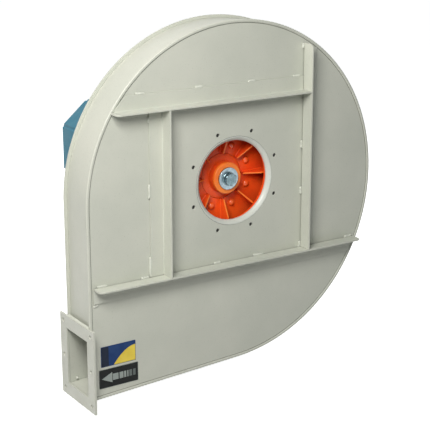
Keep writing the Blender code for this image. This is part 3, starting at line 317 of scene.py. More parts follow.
# Camera: its target from the drawing's origin, and from there its angles in degrees and its distance
CAMERA_TARGET = (-0.0595, 0, -0.0803)
CAMERA_AZIMUTH = -33.251
CAMERA_ELEVATION = 16.111
CAMERA_DISTANCE = 3.0446
CAMERA_LENS = 101.48

# The scroll's arcs as centre and radius: under the right, over the right and over the left
LOWER_RIGHT = (SCROLL_CENTRE_X - SCROLL_STEP, SCROLL_CENTRE_Z - SCROLL_STEP, SCROLL_RADIUS + 2 * SCROLL_STEP)
UPPER_RIGHT = (SCROLL_CENTRE_X, SCROLL_CENTRE_Z - SCROLL_STEP, SCROLL_RADIUS + SCROLL_STEP)
UPPER_LEFT = (SCROLL_CENTRE_X, SCROLL_CENTRE_Z, SCROLL_RADIUS)


def polar(radius, angle, x=0, z=0):
    """The point at an angle in radians on a circle round (x, z)."""
    return (x + radius * math.cos(angle), z + radius * math.sin(angle))


def arc(x, z, radius, start, end, step=FINE_STEP):
    """Points of an arc round (x, z), its ends included. Angles are in degrees from +X."""
    count = max(2, round(abs(end - start) / step))
    return [polar(radius, math.radians(start + (end - start) * i / count), x, z) for i in range(count + 1)]


def circle(x, z, radius, count=24):
    """Points of a full circle round (x, z)."""
    return [polar(radius, 2 * math.pi * (i + 0.5) / count, x, z) for i in range(count)]


def rectangle(x0, z0, x1, z1):
    """Corners of a rectangle."""
    return [(x0, z0), (x1, z0), (x1, z1), (x0, z1)]


def rounded_rectangle(x0, z0, x1, z1, radius, step=15):
    """A rectangle with round corners."""
    corners = ((x1 - radius, z0 + radius, -90), (x1 - radius, z1 - radius, 0),
               (x0 + radius, z1 - radius, 90), (x0 + radius, z0 + radius, 180))
    return [point for x, z, start in corners for point in arc(x, z, radius, start, start + 90, step)]


def bottom_height(x, inset):
    """Height of the sloping bottom edge at x, for an outline drawn inset from the plates' edge."""
    centre_x, centre_z, radius = LOWER_RIGHT
    start_x, start_z = polar(radius - inset, math.radians(OUTLET_FALL - 90), centre_x, centre_z)
    return start_z - (start_x - x) * math.tan(math.radians(OUTLET_FALL))


def spiral(inset, wall_end=None):
    """The scroll's outline from the outlet's floor round to the left wall, inset from the plates' edge.

    With a wall_end, the floor starts at the plates' edge and the wall runs down to that height.
    """
    wall = LEFT_WALL + (inset if wall_end is None else 0)
    points = [(wall, bottom_height(wall, inset))]
    bends = ((LOWER_RIGHT, OUTLET_FALL - 90, 0), (UPPER_RIGHT, 0, 90), (UPPER_LEFT, 90, 180))
    for (centre_x, centre_z, radius), start, end in bends:
        bend = arc(centre_x, centre_z, radius - inset, start, end)
        points += bend if start < 0 else bend[1:]
    return points if wall_end is None else points + [(LEFT_WALL + inset, wall_end)]


def reach(bend, height):
    """How far an arc's edge lies beside its centre, at a height over that centre."""
    return math.sqrt(bend[2] ** 2 - height ** 2)


def left_edge(z):
    return UPPER_LEFT[0] - reach(UPPER_LEFT, z - UPPER_LEFT[1])


def right_edge(z):
    return LOWER_RIGHT[0] + reach(LOWER_RIGHT, z - LOWER_RIGHT[1])


def top_edge(x):
    return UPPER_RIGHT[1] + reach(UPPER_RIGHT, x - UPPER_RIGHT[0])


def bottom_edge(x):
    return LOWER_RIGHT[1] - reach(LOWER_RIGHT, x - LOWER_RIGHT[0])


DUCT_FLOOR = bottom_height(LEFT_WALL, WRAPPER_OUTSET)
REAR_ANGLE_BOTTOM = bottom_edge(PEDESTAL_HALF_WIDTH) + 0.010
CASING_BOLT_HEIGHTS = (PEDESTAL_TOP - 0.070, REAR_ANGLE_BOTTOM + 0.040)


def linear(channel):
    """One sRGB channel, 0 to 255, as a linear value."""
    value = channel / 255
    return value / 12.92 if value <= 0.04045 else ((value + 0.055) / 1.055) ** 2.4


def rgb(colour):
    return (*(linear(channel) for channel in colour), 1)


class Look:
    """A node-based material that is put together from textures in the object's own space."""

    def __init__(self, name, socket, value):
        self.material = bpy.data.materials.new(name)
        self.material.use_nodes = True
        self.tree = self.material.node_tree
        self.shader = self.tree.nodes["Principled BSDF"]
        self.shader.inputs[socket].default_value = value
        self.place = self.tree.nodes.new("ShaderNodeTexCoord").outputs["Object"]
        self.normal = None

    def fill(self, socket, value):
        """Link a socket to the value where that is an output, or else set it."""
        if isinstance(value, bpy.types.NodeSocket):
            self.tree.links.new(value, socket)
        else:
            socket.default_value = value

    def node(self, kind, sockets=None, **values):
        """A new node with its settings and the values of its sockets."""
        node = self.tree.nodes.new(kind)
        for name, value in values.items():
            setattr(node, name, value)
        for name, value in (sockets or {}).items():
            self.fill(node.inputs[name], value)
        return node

    def noise(self, scale, detail=3.0, stretch=None, roughness=0.5):
        """A noise of so many cells to the metre, stretched along the axes if asked."""
        place = self.place
        if stretch:
            place = self.node("ShaderNodeMapping", {"Vector": place, "Scale": stretch}).outputs["Vector"]
        sockets = {"Vector": place, "Scale": scale, "Detail": detail, "Roughness": roughness}
        return self.node("ShaderNodeTexNoise", sockets).outputs["Fac"]

    def spread(self, value, low, high, to_low, to_high):
        """The value's range from low to high as a range from to_low to to_high, clamped."""
        sockets = {"Value": value, "From Min": low, "From Max": high, "To Min": to_low, "To Max": to_high}
        return self.node("ShaderNodeMapRange", sockets).outputs["Result"]

    def mix(self, factor, first, second):
        """Two colours or colour outputs mixed."""
        node = self.node("ShaderNodeMix", data_type="RGBA")
        for value, name in ((factor, "Factor"), (first, "A"), (second, "B")):
            self.fill([s for s in node.inputs if s.name == name and s.enabled][0], value)
        return [s for s in node.outputs if s.enabled][0]

    def colour(self, output):
        self.fill(self.shader.inputs["Base Color"], output)

    def rough(self, value, low, high):
        self.fill(self.shader.inputs["Roughness"], self.spread(value, 0.3, 0.7, low, high))

    def bump(self, value, depth):
        """Raise the surface by up to depth metres where the value is one."""
        node = self.node("ShaderNodeBump", {"Height": value, "Distance": depth})
        if self.normal:
            self.fill(node.inputs["Normal"], self.normal)
        self.normal = node.outputs["Normal"]
        self.fill(self.shader.inputs["Normal"], self.normal)

    def corners(self, colour, dark, distance, strength):
        """The colour, nearer to dark where surfaces meet: painted shade from ambient occlusion."""
        node = self.node("ShaderNodeAmbientOcclusion", {"Distance": distance}, samples=8)
        return self.mix(self.spread(node.outputs["AO"], 0.1, 0.7, strength, 0.0), colour, dark)


def paint(name, light, dark, shade, rough=(0.34, 0.5), peel=0.00006, cloud=5.0, corner_shade=0.45, gloss=0.5,
          nook=0.006):
    """Sprayed paint: faint clouds of two tones, painted shade in the corners, orange peel and soft gloss.

    Cloud is in cells to the metre. The corner shade is how much painted shade, from ambient occlusion, lies
    within nook metres of a corner.
    """
    look = Look(name, "Specular IOR Level", gloss)
    clouds = look.spread(look.noise(cloud, 4.0, roughness=0.6), 0.35, 0.65, 0.0, 1.0)
    tone = look.mix(clouds, rgb(light), rgb(dark))
    specks = look.spread(look.noise(SPECK_CELLS, 2.0), 0.62, 0.72, 0.0, 0.18)
    tone = look.mix(specks, tone, rgb(shade))
    # Painted shade: ambient occlusion darkens the colour towards shade where surfaces meet.
    look.colour(look.corners(tone, rgb(shade), nook, corner_shade))
    look.rough(look.noise(GLOSS_CELLS, 4.0), *rough)
    look.bump(look.noise(WAVE_CELLS, 1.0), WAVE_DEPTH)
    look.bump(look.noise(PEEL_CELLS, 2.0), peel)
    return look.material


def metal(name, light, dark, rough, grain, depth, stretch=None):
    """Bare or plated metal with fine streaks, stains and painted shade in its corners."""
    look = Look(name, "Metallic", 1.0)
    stains = look.spread(look.noise(STAIN_CELLS, 5.0, roughness=0.65), 0.35, 0.68, 0.0, 1.0)
    streaks = look.noise(grain, 3.0, stretch)
    tone = look.mix(stains, rgb(light), rgb(dark))
    tone = look.mix(look.spread(streaks, 0.4, 0.75, 0.0, 0.5), tone, rgb(dark))
    # Painted shade: ambient occlusion darkens the metal where surfaces meet.
    look.colour(look.corners(tone, rgb(METAL_CORNER_SHADE), 0.005, 0.85))
    look.rough(streaks, *rough)
    look.bump(streaks, depth)
    return look.material


def moulded(name, light, dark, rough, grain, depth, gloss=0.5):
    """Moulded plastic or rubber: fine grain, faint tone changes."""
    look = Look(name, "Specular IOR Level", gloss)
    look.colour(look.mix(look.spread(look.noise(MOULD_CELLS), 0.35, 0.65, 0.0, 1.0), rgb(light), rgb(dark)))
    look.rough(look.noise(MOULD_GLOSS_CELLS), *rough)
    look.bump(look.noise(grain, 2.0), depth)
    return look.material


def foil(name, light, dark):
    """Printed foil: matt, with next to no grain."""
    return moulded(name, light, dark, (0.55, 0.65), 300.0, 0.00002, 0.2)


# Every paint below darkens in its corners by its corner shade: painted shade from ambient occlusion.
CASING = paint("cream_grey_paint", (202, 204, 193), (194, 197, 186), (128, 131, 120))
# A lighter, bluer copy of the casing paint: painted highlight on the bell mouth.
CONE_HIGHLIGHT = paint("inlet_cone_highlight_paint", (212, 216, 208), (205, 209, 201), (128, 131, 120), (0.3, 0.42))
# A lighter copy of the casing paint with coarser peel: painted highlight on the weld beads.
WELD_HIGHLIGHT = paint("weld_highlight_paint", (212, 215, 205), (196, 199, 188), (120, 124, 112), (0.3, 0.45),
             peel=0.0001, cloud=60.0)
# A dark paint for the hem's inner joint: painted shade where the hem's inner step faces away from the light.
SEAM_SHADE = paint("seam_shade_paint", (132, 134, 124), (120, 122, 112), (90, 92, 84), (0.5, 0.7))
PEDESTAL = paint("pedestal_grey_paint", (192, 193, 180), (180, 182, 170), (132, 134, 120), (0.4, 0.58))
MOTOR = paint("motor_blue_paint", (74, 136, 158), (62, 118, 140), (30, 62, 76), (0.4, 0.55),
              peel=0.00012, cloud=9.0, corner_shade=0.7, gloss=0.25)
# Its corner shade reaches 45 mm: painted shadow on the disc's outer part, where the shroud and the cone shade
# it.
IMPELLER = paint("impeller_orange_paint", (255, 100, 32), (246, 80, 27), (134, 14, 14), (0.26, 0.38),
                 peel=0.0001, cloud=12.0, corner_shade=0.65, gloss=0.35, nook=0.045)
# A lighter, glossier copy of the impeller paint: painted highlight on the rivet heads.
RIVET_HIGHLIGHT = paint("impeller_rivet_highlight_paint", (255, 112, 44), (246, 92, 34), (160, 30, 16), (0.2, 0.3),
              peel=0.0001, cloud=12.0, corner_shade=0.4, gloss=0.6)
# A lighter copy of the impeller paint: painted highlight on the boss's nose and the blades' front edges.
BOSS_HIGHLIGHT = paint("impeller_highlight_paint", (255, 140, 52), (248, 118, 38), (180, 60, 20), (0.26, 0.38),
             peel=0.0001, cloud=12.0, corner_shade=0.4, gloss=0.4)
ZINC = metal("zinc_plating", (168, 185, 193), (138, 156, 164), (0.22, 0.4), 120.0, 0.00002)
# A darker copy of the zinc: painted shade on the hub bolt's head.
SHADED_ZINC = metal("shaded_zinc_bolt", (138, 158, 164), (104, 124, 130), (0.18, 0.32), 120.0, 0.00002)
STEEL = metal("turned_steel", (176, 176, 178), (128, 126, 124), (0.22, 0.42), 90.0, 0.00003, (1, 18, 1))
CORE = metal("laminated_steel", (112, 112, 116), (66, 64, SHAFT_ROUND), (0.4, 0.62), 40.0, 0.0001, (1, 40, 1))
PLASTIC = moulded("black_moulding", (44, 46, 48), (32, 33, 35), (0.42, 0.6), 900.0, 0.00008)
RUBBER = moulded("gasket_rubber", (52, 52, 52), (40, 40, 40), (0.6, 0.75), 500.0, 0.00005)
BLACK = foil("black_foil", (14, 18, 18), (10, 13, 13))
BLUE = foil("blue_foil", (36, 63, 110), (29, 56, 104))
NAVY = foil("navy_foil", (24, 34, 52), (20, 29, 46))
YELLOW = foil("yellow_foil", (240, 215, 90), (230, 204, 80))
PALE = foil("pale_foil", (160, 168, 164), (148, 157, 154))
FADED = foil("faded_foil", (108, 116, 114), (98, 106, 105))

# The bars behind the arrow: where each starts and ends as shares of the label's width
AIRFLOW_BARS = ((0.344, 0.49, PALE), (0.517, 0.616, PALE), (0.636, 0.689, PALE), (0.715, 0.748, PALE),
                (0.768, 0.841, FADED), (0.868, 0.934, FADED))

# What turns a flat outline so that its thickness runs along the axis
FACING = {
    "Y": Matrix.Rotation(math.pi / 2, 4, "X"),
    "Z": Matrix.Identity(4),
    "X": Matrix(((0, 0, 1, 0), (1, 0, 0, 0), (0, 1, 0, 0), (0, 0, 0, 1))),
}

# Directions and sides
ALONG = {"X": Vector((1, 0, 0)), "Y": Vector((0, 1, 0)), "Z": Vector((0, 0, 1))}
FRONT = (0, -1, 0)
REAR = (0, 1, 0)
UP = (0, 0, 1)
RIGHT = (1, 0, 0)
SIDES = ((-1, "left"), (1, "right"))


def turned_to(direction, centre=(0, 0, 0)):
    """The matrix that takes +Z to the direction, at the centre."""
    turn = Vector(UP).rotation_difference(Vector(direction)).to_matrix().to_4x4()
    return Matrix.Translation(centre) @ turn


def placed(name, data):
    """A new object in the scene."""
    item = bpy.data.objects.new(name, data)
    bpy.context.scene.collection.objects.link(item)
    return item


def evaluated(item):
    """The mesh of an object with its modifiers applied."""
    return bpy.data.meshes.new_from_object(item.evaluated_get(bpy.context.evaluated_depsgraph_get()))


def as_mesh(shape, mesh=None):
    """The bmesh as a mesh, new if none is given."""
    mesh = mesh or bpy.data.meshes.new("piece")
    shape.to_mesh(mesh)
    shape.free()
    return mesh


def signed_area(points):
    return sum(a[0] * b[1] - b[0] * a[1] for a, b in zip(points, points[1:] + points[:1]))


def sheet(outlines, start, end, facing="Y", edge=SHEET_EDGE, steps=1):
    """Mesh of a flat piece with rounded edges: the first outline is the rim, the rest are holes."""
    curve = bpy.data.curves.new("sheet", "CURVE")
    curve.dimensions = "2D"
    curve.fill_mode = "BOTH"
    curve.extrude = (end - start) / 2 - edge
    curve.bevel_depth = edge
    curve.bevel_resolution = steps
    curve.offset = -edge
    for index, outline in enumerate(outlines):
        points = list(outline)
        if (signed_area(points) > 0) != (index == 0):
            points.reverse()
        spline = curve.splines.new("POLY")
        spline.points.add(len(points) - 1)
        for point, (u, v) in zip(spline.points, points):
            point.co = (u, v, 0, 1)
        spline.use_cyclic_u = True
    source = placed("sheet", curve)
    mesh = evaluated(source)
    bpy.data.objects.remove(source)
    bpy.data.curves.remove(curve)
    mesh.transform(Matrix.Translation(ALONG[facing] * (start + end) / 2) @ FACING[facing])
    return cleaned(mesh)


def cleaned(mesh):
    """The mesh with its doubled points merged and its faces pointing out."""
    shape = bmesh.new()
    shape.from_mesh(mesh)
    bmesh.ops.remove_doubles(shape, verts=shape.verts, dist=MERGE)
    bmesh.ops.dissolve_degenerate(shape, edges=shape.edges, dist=MERGE / 10)
    bmesh.ops.recalc_face_normals(shape, faces=shape.faces)
    return as_mesh(shape, mesh)


def stack(rings, closed=False):
    """Mesh through rings of as many points each, capped at both ends, or closed to a loop."""
    shape = bmesh.new()
    rows = [[shape.verts.new(point) for point in ring] for ring in rings]
    for low, high in list(zip(rows, rows[1:])) + ([(rows[-1], rows[0])] if closed else []):
        for i in range(len(low)):
            j = (i + 1) % len(low)
            shape.faces.new((low[i], low[j], high[j], high[i]))
    if not closed:
        shape.faces.new(rows[0])
        shape.faces.new(rows[-1])
    return cleaned(as_mesh(shape))


def revolved(profile, segments=ROUND, matrix=None, closed=True):
    """Mesh turned about Y from (radius, y) points. An open profile starts and ends on the axis."""
    rings = []
    for radius, y in profile:
        turns = [polar(max(radius, MERGE * 4), 2 * math.pi * i / segments) for i in range(segments)]
        rings.append([(x, y, z) for x, z in turns])
    mesh = stack(rings, closed)
    if matrix:
        mesh.transform(matrix)
    return mesh


def softened(profile, amount, steps=3):
    """The closed profile with each corner rounded by up to the amount."""
    result = []
    count = len(profile)
    for i, point in enumerate(profile):
        here = Vector(point)
        before = Vector(profile[i - 1]) - here
        after = Vector(profile[(i + 1) % count]) - here
        size = min(amount, before.length * 0.45, after.length * 0.45)
        bend = before.angle(after, math.pi) if before.length and after.length else math.pi
        if bend > math.radians(150) or size < MERGE:
            result.append(tuple(here))
            continue
        first = here + before.normalized() * size
        last = here + after.normalized() * size
        for j in range(steps + 1):
            t = j / steps
            result.append(tuple((1 - t) ** 2 * first + 2 * t * (1 - t) * here + t ** 2 * last))
    return result


def merged(meshes):
    """One mesh from several."""
    shape = bmesh.new()
    for mesh in meshes:
        shape.from_mesh(mesh)
        bpy.data.meshes.remove(mesh)
    return as_mesh(shape)


def add(name, mesh, nodes=(), body="casing", finish=CASING, slot="casing_paint", edge=0.0, angle=35):
    """Place a mesh as a piece that rides on a body, in place of the named nodes."""
    mesh.transform(Matrix.Translation(ORIGIN))
    item = placed(name, mesh)
    mesh.materials.clear()
    mesh.materials.append(finish)
    mesh.shade_smooth()
    mesh.set_sharp_from_angle(angle=math.radians(angle))
    if edge:
        bevel = item.modifiers.new("edges", "BEVEL")
        bevel.width = edge
        bevel.segments = 2
        bevel.limit_method = "ANGLE"
        bevel.angle_limit = math.radians(angle)
        bevel.miter_outer = "MITER_ARC"
    weights = item.modifiers.new("shading", "WEIGHTED_NORMAL")
    weights.keep_sharp = not edge
    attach(item, body)
    if nodes:
        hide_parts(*nodes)
    return item


add_stand = partial(add, finish=PEDESTAL, slot="pedestal_paint")
add_motor = partial(add, finish=MOTOR, slot="motor_paint")
add_rotor = partial(add, body="rotor", finish=IMPELLER, slot="impeller_paint")
add_zinc = partial(add, finish=ZINC, slot="zinc_plate", angle=TURNED_ANGLE)


def hexagon_head(radius, height, matrix):
    """A chamfered hexagon head from Z = 0 up to its height, placed by the matrix."""
    count = 48
    flat_radius = radius * math.cos(math.pi / 6)
    rings = []
    for share, limit in HEAD_LEVELS:
        ring = []
        for i in range(count):
            angle = 2 * math.pi * i / count
            side = (angle + math.pi / 6) % (math.pi / 3) - math.pi / 6
            size = min(flat_radius / math.cos(side), flat_radius * limit)
            ring.append((*polar(size, angle), height * share))
        rings.append(ring)
    mesh = stack(rings)
    mesh.transform(matrix)
    return mesh


def disc(radius, height, matrix, segments=36, edge=0.0004, hole=0.0):
    """A round washer or cap from Z = 0 up to its height, with rounded edges."""
    if hole:
        profile = softened(rectangle(hole, 0, radius, height), edge)
    else:
        profile = [(0, 0), (radius - edge, 0), (radius, edge), (radius, height - edge),
                   (radius - edge, height), (0, height)]
    return revolved(profile, segments, matrix @ FACING["Y"], closed=bool(hole))


def dome(radius, height, matrix, steps=6, segments=24):
    """A round rivet or screw head from Z = 0 up to its height."""
    turns = [math.pi / 2 * i / steps for i in range(steps)]
    bend = [(radius * math.cos(turn), height * math.sin(turn)) for turn in turns]
    return revolved([(0, 0)] + bend + [(0, height)], segments, matrix @ FACING["Y"], closed=False)


def bead(start, end, out, width=0.0075, height=0.0042):
    """A run of weld from start to end: overlapped ripples on a low hump that faces out."""
    start, end, out = Vector(start), Vector(end), Vector(out).normalized()
    along = end - start
    length = along.length
    along.normalize()
    across = along.cross(out)
    count = max(4, round(length / BEAD_STEP))
    phase = random.random()
    rings = []
    for i in range(count + 1):
        s = length * i / count
        ripple = (s / BEAD_PITCH + phase) % 1.0
        swell = BEAD_DIP + BEAD_RIPPLE * math.sqrt(max(0.0, 1 - (2 * ripple - 1) ** 2))
        swell *= 1 + BEAD_UNEVEN * (random.random() - 0.5)
        near_end = min(s, length - s) / (width * BEAD_TAPER)
        taper = math.sqrt(max(BEAD_END, 1 - (1 - min(1.0, near_end)) ** 2))
        size = swell * taper
        centre = start + along * s + across * width * BEAD_WANDER * (random.random() - 0.5)
        side, foot = across * width / 2 * size, out * height * BEAD_FOOT
        ring = [centre + across * math.cos(angle) * width / 2 * size + out * math.sin(angle) * height * size
                for angle in (math.pi * j / 8 for j in range(9))]
        rings.append(ring + [centre - side - foot, centre + side - foot])
    return stack(rings)


def drops(start, end, out, *size):
    """Small round drops of weld along a run, whatever the size of its weld."""
    start, end, out = Vector(start), Vector(end), Vector(out).normalized()
    across = (end - start).normalized().cross(out)
    count = max(2, round((end - start).length / DROP_PITCH))
    shapes = []
    for i in range(count):
        centre = start.lerp(end, (i + 0.3 + 0.4 * random.random()) / count) + out * DROP_SEAT
        centre += across * DROP_DRIFT * (2 * random.random() - 1)
        radius = DROP_RADIUS * (0.75 + 0.5 * random.random())
        shapes.append(dome(radius, radius, turned_to(out, centre), 4, 12))
    return merged(shapes)


def beads(name, runs, shape=bead, finish=WELD_HIGHLIGHT, slot="casing_paint"):
    """Weld runs of (start, end, out, width, height) as one piece."""
    add(name, merged([shape(*run) for run in runs]), finish=finish, slot=slot, angle=WELD_ANGLE)


def angle_section():
    """Pairs of points across an angle bar's sheet, from the standing leg's tip to the flat edge.

    Each point is (away from the heel's face, out from the plate).
    """
    pairs = []
    for i in range(9):
        height = ANGLE_LEG - ANGLE_END_ROUND * (1 - math.cos(math.pi / 2 * i / 8))
        pairs.append(((0, height), (ANGLE_SHEET, height)))
    centre = HEEL_OUTER_ROUND
    for i in range(7):
        turn = math.pi / 2 * i / 6
        pairs.append(tuple((centre - radius * math.cos(turn), centre + GAP - radius * math.sin(turn))
                           for radius in (HEEL_OUTER_ROUND, HEEL_INNER_ROUND)))
    return pairs + [((away, GAP), (away, GAP + ANGLE_SHEET)) for away in (ANGLE_LEG * 0.5, ANGLE_LEG)]


def angle_bar(ends, far_ends, place, rounds=(0, 0), notch=0):
    """Mesh of an angle bar bent from sheet. place(along, away, out) gives the point.

    The standing leg runs from ends[0] to ends[1], its free corners rounded at the named radii.
    far_ends are the ends of the flat leg's edge. A notch sets the leg's root back at the first end.
    """
    heel = HEEL_OUTER_ROUND * 0.9
    shape = bmesh.new()
    grid = []
    for outside, inside in angle_section():
        away, out = outside
        limits = []
        for end, far, rounding, cut, sign in zip(ends, far_ends, rounds, (notch, 0), (1, -1)):
            position = end
            if rounding and out > ANGLE_LEG - rounding:
                rise = out - (ANGLE_LEG - rounding)
                position += sign * (rounding - math.sqrt(max(0.0, rounding ** 2 - rise ** 2)))
            if away > heel:
                share = (away - heel) / (ANGLE_LEG - heel)
                position = end + sign * cut + (far - end - sign * cut) * share
            elif cut and out < HEEL_OUTER_ROUND:
                position += sign * cut
            limits.append(position)
        grid.append([shape.verts.new(place(along, *point))
                     for along in limits for point in (outside, inside)])
    for a, b in zip(grid, grid[1:]):
        for corners in ((a[0], a[2], b[2], b[0]), (a[1], b[1], b[3], a[3]),
                        (a[0], b[0], b[1], a[1]), (a[2], a[3], b[3], b[2])):
            shape.faces.new(corners)
    for row in (grid[0], grid[-1]):
        shape.faces.new((row[0], row[1], row[3], row[2]))
    return cleaned(as_mesh(shape))


def casing():
    """Side plates, raised hem, wrapper, tongue and flange."""
    outline, inner = spiral(0), spiral(HEM_WIDTH)
    inlet = circle(0, 0, INLET_OPENING_RADIUS, ROUND)
    holes = [circle(x, z, HOLE_RADIUS) for x, z in circle(0, 0, INLET_BOLT_CIRCLE_RADIUS, INLET_HOLES)]
    # A rubber seal ring behind the plate that also stands as painted shade, black through the bolt holes and
    # the gap round the cone.
    seal_shade = rectangle(INLET_OPENING_RADIUS - 0.003, SIDE_PLATE + GAP,
                     INLET_BOLT_CIRCLE_RADIUS + 1.6 * HOLE_RADIUS, SIDE_PLATE + SEAL_SHADE_STRIP)
    add("inlet_seal_shade", revolved(seal_shade), finish=RUBBER)
    add("front_plate_sheet", sheet([outline, inlet] + holes, 0, SIDE_PLATE), ["front_side_plate"])
    # A dark strip just inside the hem, at its joint with the plate: painted shade along the hem's inner step.
    seam = [spiral(HEM_WIDTH - GAP), spiral(HEM_WIDTH + SEAM_WIDTH)]
    add("front_plate_seam_shade", sheet(seam, -GAP, GAP, edge=0.0001), finish=SEAM_SHADE)
    add("front_plate_hem", sheet([outline, inner], -HEM_RISE, HEM_RISE, edge=HEM_RISE, steps=3))
    rear = CASING_DEPTH - SIDE_PLATE
    shaft_opening = circle(0, 0, SHAFT_OPENING_RADIUS, SHAFT_ROUND)
    add("rear_plate_sheet", sheet([outline, shaft_opening], rear, CASING_DEPTH), ["rear_side_plate"])
    hem = sheet([outline, inner], CASING_DEPTH - HEM_RISE, CASING_DEPTH + HEM_RISE, edge=HEM_RISE, steps=3)
    add("rear_plate_hem", hem)
    front, rear = SIDE_PLATE + GAP, rear - GAP
    wall_end = DUCT_TOP + WRAPPER_SHEET + GAP
    wrapper = spiral(PLATE_LIP, wall_end) + spiral(WRAPPER_OUTSET, wall_end)[::-1]
    add("wrapper_sheet", sheet([wrapper], front, rear, edge=0.0003), ["scroll_wrapper"])
    tongue(front, rear)
    flange()


def tongue(front, rear):
    """The bent cut-off sheet over the outlet duct."""
    clear_radius = IMPELLER_RADIUS + TONGUE_GAP
    lean = math.radians(TONGUE_LEAN)
    nose_z = DUCT_TOP + TONGUE_NOSE_RADIUS
    nose_x = -(clear_radius + TONGUE_NOSE_RADIUS + math.sin(lean) * nose_z) / math.cos(lean)
    wall = LEFT_WALL + WRAPPER_OUTSET + GAP

    def side(depth):
        bend = arc(nose_x, nose_z, TONGUE_NOSE_RADIUS - depth, -90, TONGUE_LEAN, 6)
        end_x, end_z = bend[-1]
        rise = (end_x - wall) * math.cos(lean) / math.sin(lean)
        return [(LEFT_WALL, DUCT_TOP + depth)] + bend + [(wall, end_z + rise)]

    outline = side(0) + side(WRAPPER_SHEET)[::-1]
    add("tongue_sheet", sheet([outline], front, rear, edge=0.0003), ["tongue_plate"])


def flange():
    """The outlet flange with its holes and welds."""
    low, high = SIDE_PLATE, CASING_DEPTH - SIDE_PLATE
    rim = rectangle(low - FLANGE_BORDER, DUCT_FLOOR - FLANGE_BORDER,
                    high + FLANGE_BORDER, DUCT_TOP + FLANGE_BORDER)
    opening = rectangle(low, DUCT_FLOOR, high, DUCT_TOP)
    middle = FLANGE_BORDER / 2
    heights = (DUCT_FLOOR - middle, (DUCT_FLOOR + DUCT_TOP) / 2, DUCT_TOP + middle)
    holes = [circle(y, z, HOLE_RADIUS) for y in (low - middle, high + middle) for z in heights]
    back = LEFT_WALL - GAP
    mesh = sheet([rim, opening] + holes, back - FLANGE_THICKNESS, back, "X", 0.0008)
    add("outlet_flange_plate", mesh, ["outlet_flange"])
    over_duct = ((0.004, DUCT_TOP + 0.0035, 0.6, 0.009, 0.006),
                 (0, DUCT_TOP + FLANGE_BORDER - 0.001, 0.4, 0.006, 0.0035))
    runs = [((LEFT_WALL, low + inset, z), (LEFT_WALL, high - inset, z), (lean, 0, 1), width, height)
            for inset, z, lean, width, height in over_duct]
    upright = ((0.001, -0.0004, DUCT_TOP - 0.012, DUCT_TOP + 0.02, 0.7, 0.003),
               (0.001, -0.0004, DUCT_FLOOR - 0.004, DUCT_FLOOR + 0.03, 0.7, 0.003),
               (0.018, high - 0.0015, DUCT_FLOOR + 0.004, DUCT_FLOOR + 0.012, 0.4, 0.004))
    runs += [((LEFT_WALL + x, y, start), (LEFT_WALL + x, y, end), (lean, -1, 0), 0.006, height)
             for x, y, start, end, lean, height in upright]
    beads("outlet_weld", runs)


def cone():
    """The bell mouth with a rolled front lip."""
    flare = INLET_OPENING_RADIUS - GAP - CONE_SHEET - THROAT_RADIUS
    steps = 14
    air_side = [(THROAT_RADIUS + flare * (1 - math.sin(math.pi / 2 * i / steps)), CONE_DEPTH * i / steps)
                for i in range(steps + 1)]
    air_side.append((THROAT_RADIUS, CONE_DEPTH + CONE_COLLAR))
    outside = [(radius + CONE_SHEET, y) for radius, y in air_side]
    profile = softened(air_side + outside[::-1], 0.0012)
    add("inlet_cone_ring", revolved(profile, FINE_ROUND), ["inlet_cone"], finish=CONE_HIGHLIGHT, angle=TURNED_ANGLE)


def front_angles():
    """The square of four bent angle bars round the inlet, with their welds."""
    inside = ANGLE_HEEL - GAP
    far = ANGLE_HEEL + ANGLE_LEG
    rounded = ANGLE_END_ROUND
    full = (-inside, inside)
    start = LEFT_WALL + ANGLE_FAR_INSET
    bars = (
        ("top", (left_edge(ANGLE_HEEL) + TOP_ANGLE_INSET, inside), (left_edge(far) + ANGLE_FAR_INSET, inside),
         lambda along, away, out: (along, -out, ANGLE_HEEL + away), (rounded, 0), TOP_ANGLE_NOTCH),
        ("bottom", (start, right_edge(-ANGLE_HEEL) - BOTTOM_ANGLE_INSET),
         (start, right_edge(-far) - ANGLE_FAR_INSET),
         lambda along, away, out: (along, -out, -ANGLE_HEEL - away), (rounded, rounded)),
        ("left", full, full, lambda along, away, out: (-ANGLE_HEEL - away, -out, along)),
        ("right", (-inside, top_edge(ANGLE_HEEL) - RIGHT_ANGLE_INSET),
         (-inside, top_edge(far) - ANGLE_FAR_INSET),
         lambda along, away, out: (ANGLE_HEEL + away, -out, along), (0, rounded)),
    )
    for label, *drawing in bars:
        add(f"{label}_angle_bar", angle_bar(*drawing), [f"{label}_angle"], edge=0.0006, angle=TURNED_ANGLE)
    edge, root = far + 0.0006, ANGLE_HEEL - 0.0004
    runs = [((-edge, -0.001, a), (-edge, -0.001, b), (-0.5, -1, 0)) for a, b in LEFT_ANGLE_STITCHES]
    runs += [((root, -0.0005, a), (root, -0.0005, b), (-1, -0.8, 0)) for a, b in RIGHT_ANGLE_STITCHES]
    runs += [((a, -0.001, edge), (b, -0.001, edge), (0, -1, 0.5)) for a, b in TOP_ANGLE_STITCHES]
    runs += [((a, -0.0005, -root), (b, -0.0005, -root), (0, -0.8, 1)) for a, b in BOTTOM_ANGLE_STITCHES]
    runs += [((x - 0.010, -0.0005, root), (x + 0.010, -0.0005, root), (0, -0.8, -1), 0.005, 0.003)
             for x in TOP_ANGLE_UNDER_STITCHES]
    beads("stiffener_weld_drops", runs, drops)
    runs.append(((-0.4087, -0.0006, -0.2568), (-0.3945, -0.0006, -0.2512), (0, -1, -0.3), 0.0055, 0.0026))
    beads("stiffener_welds", runs)


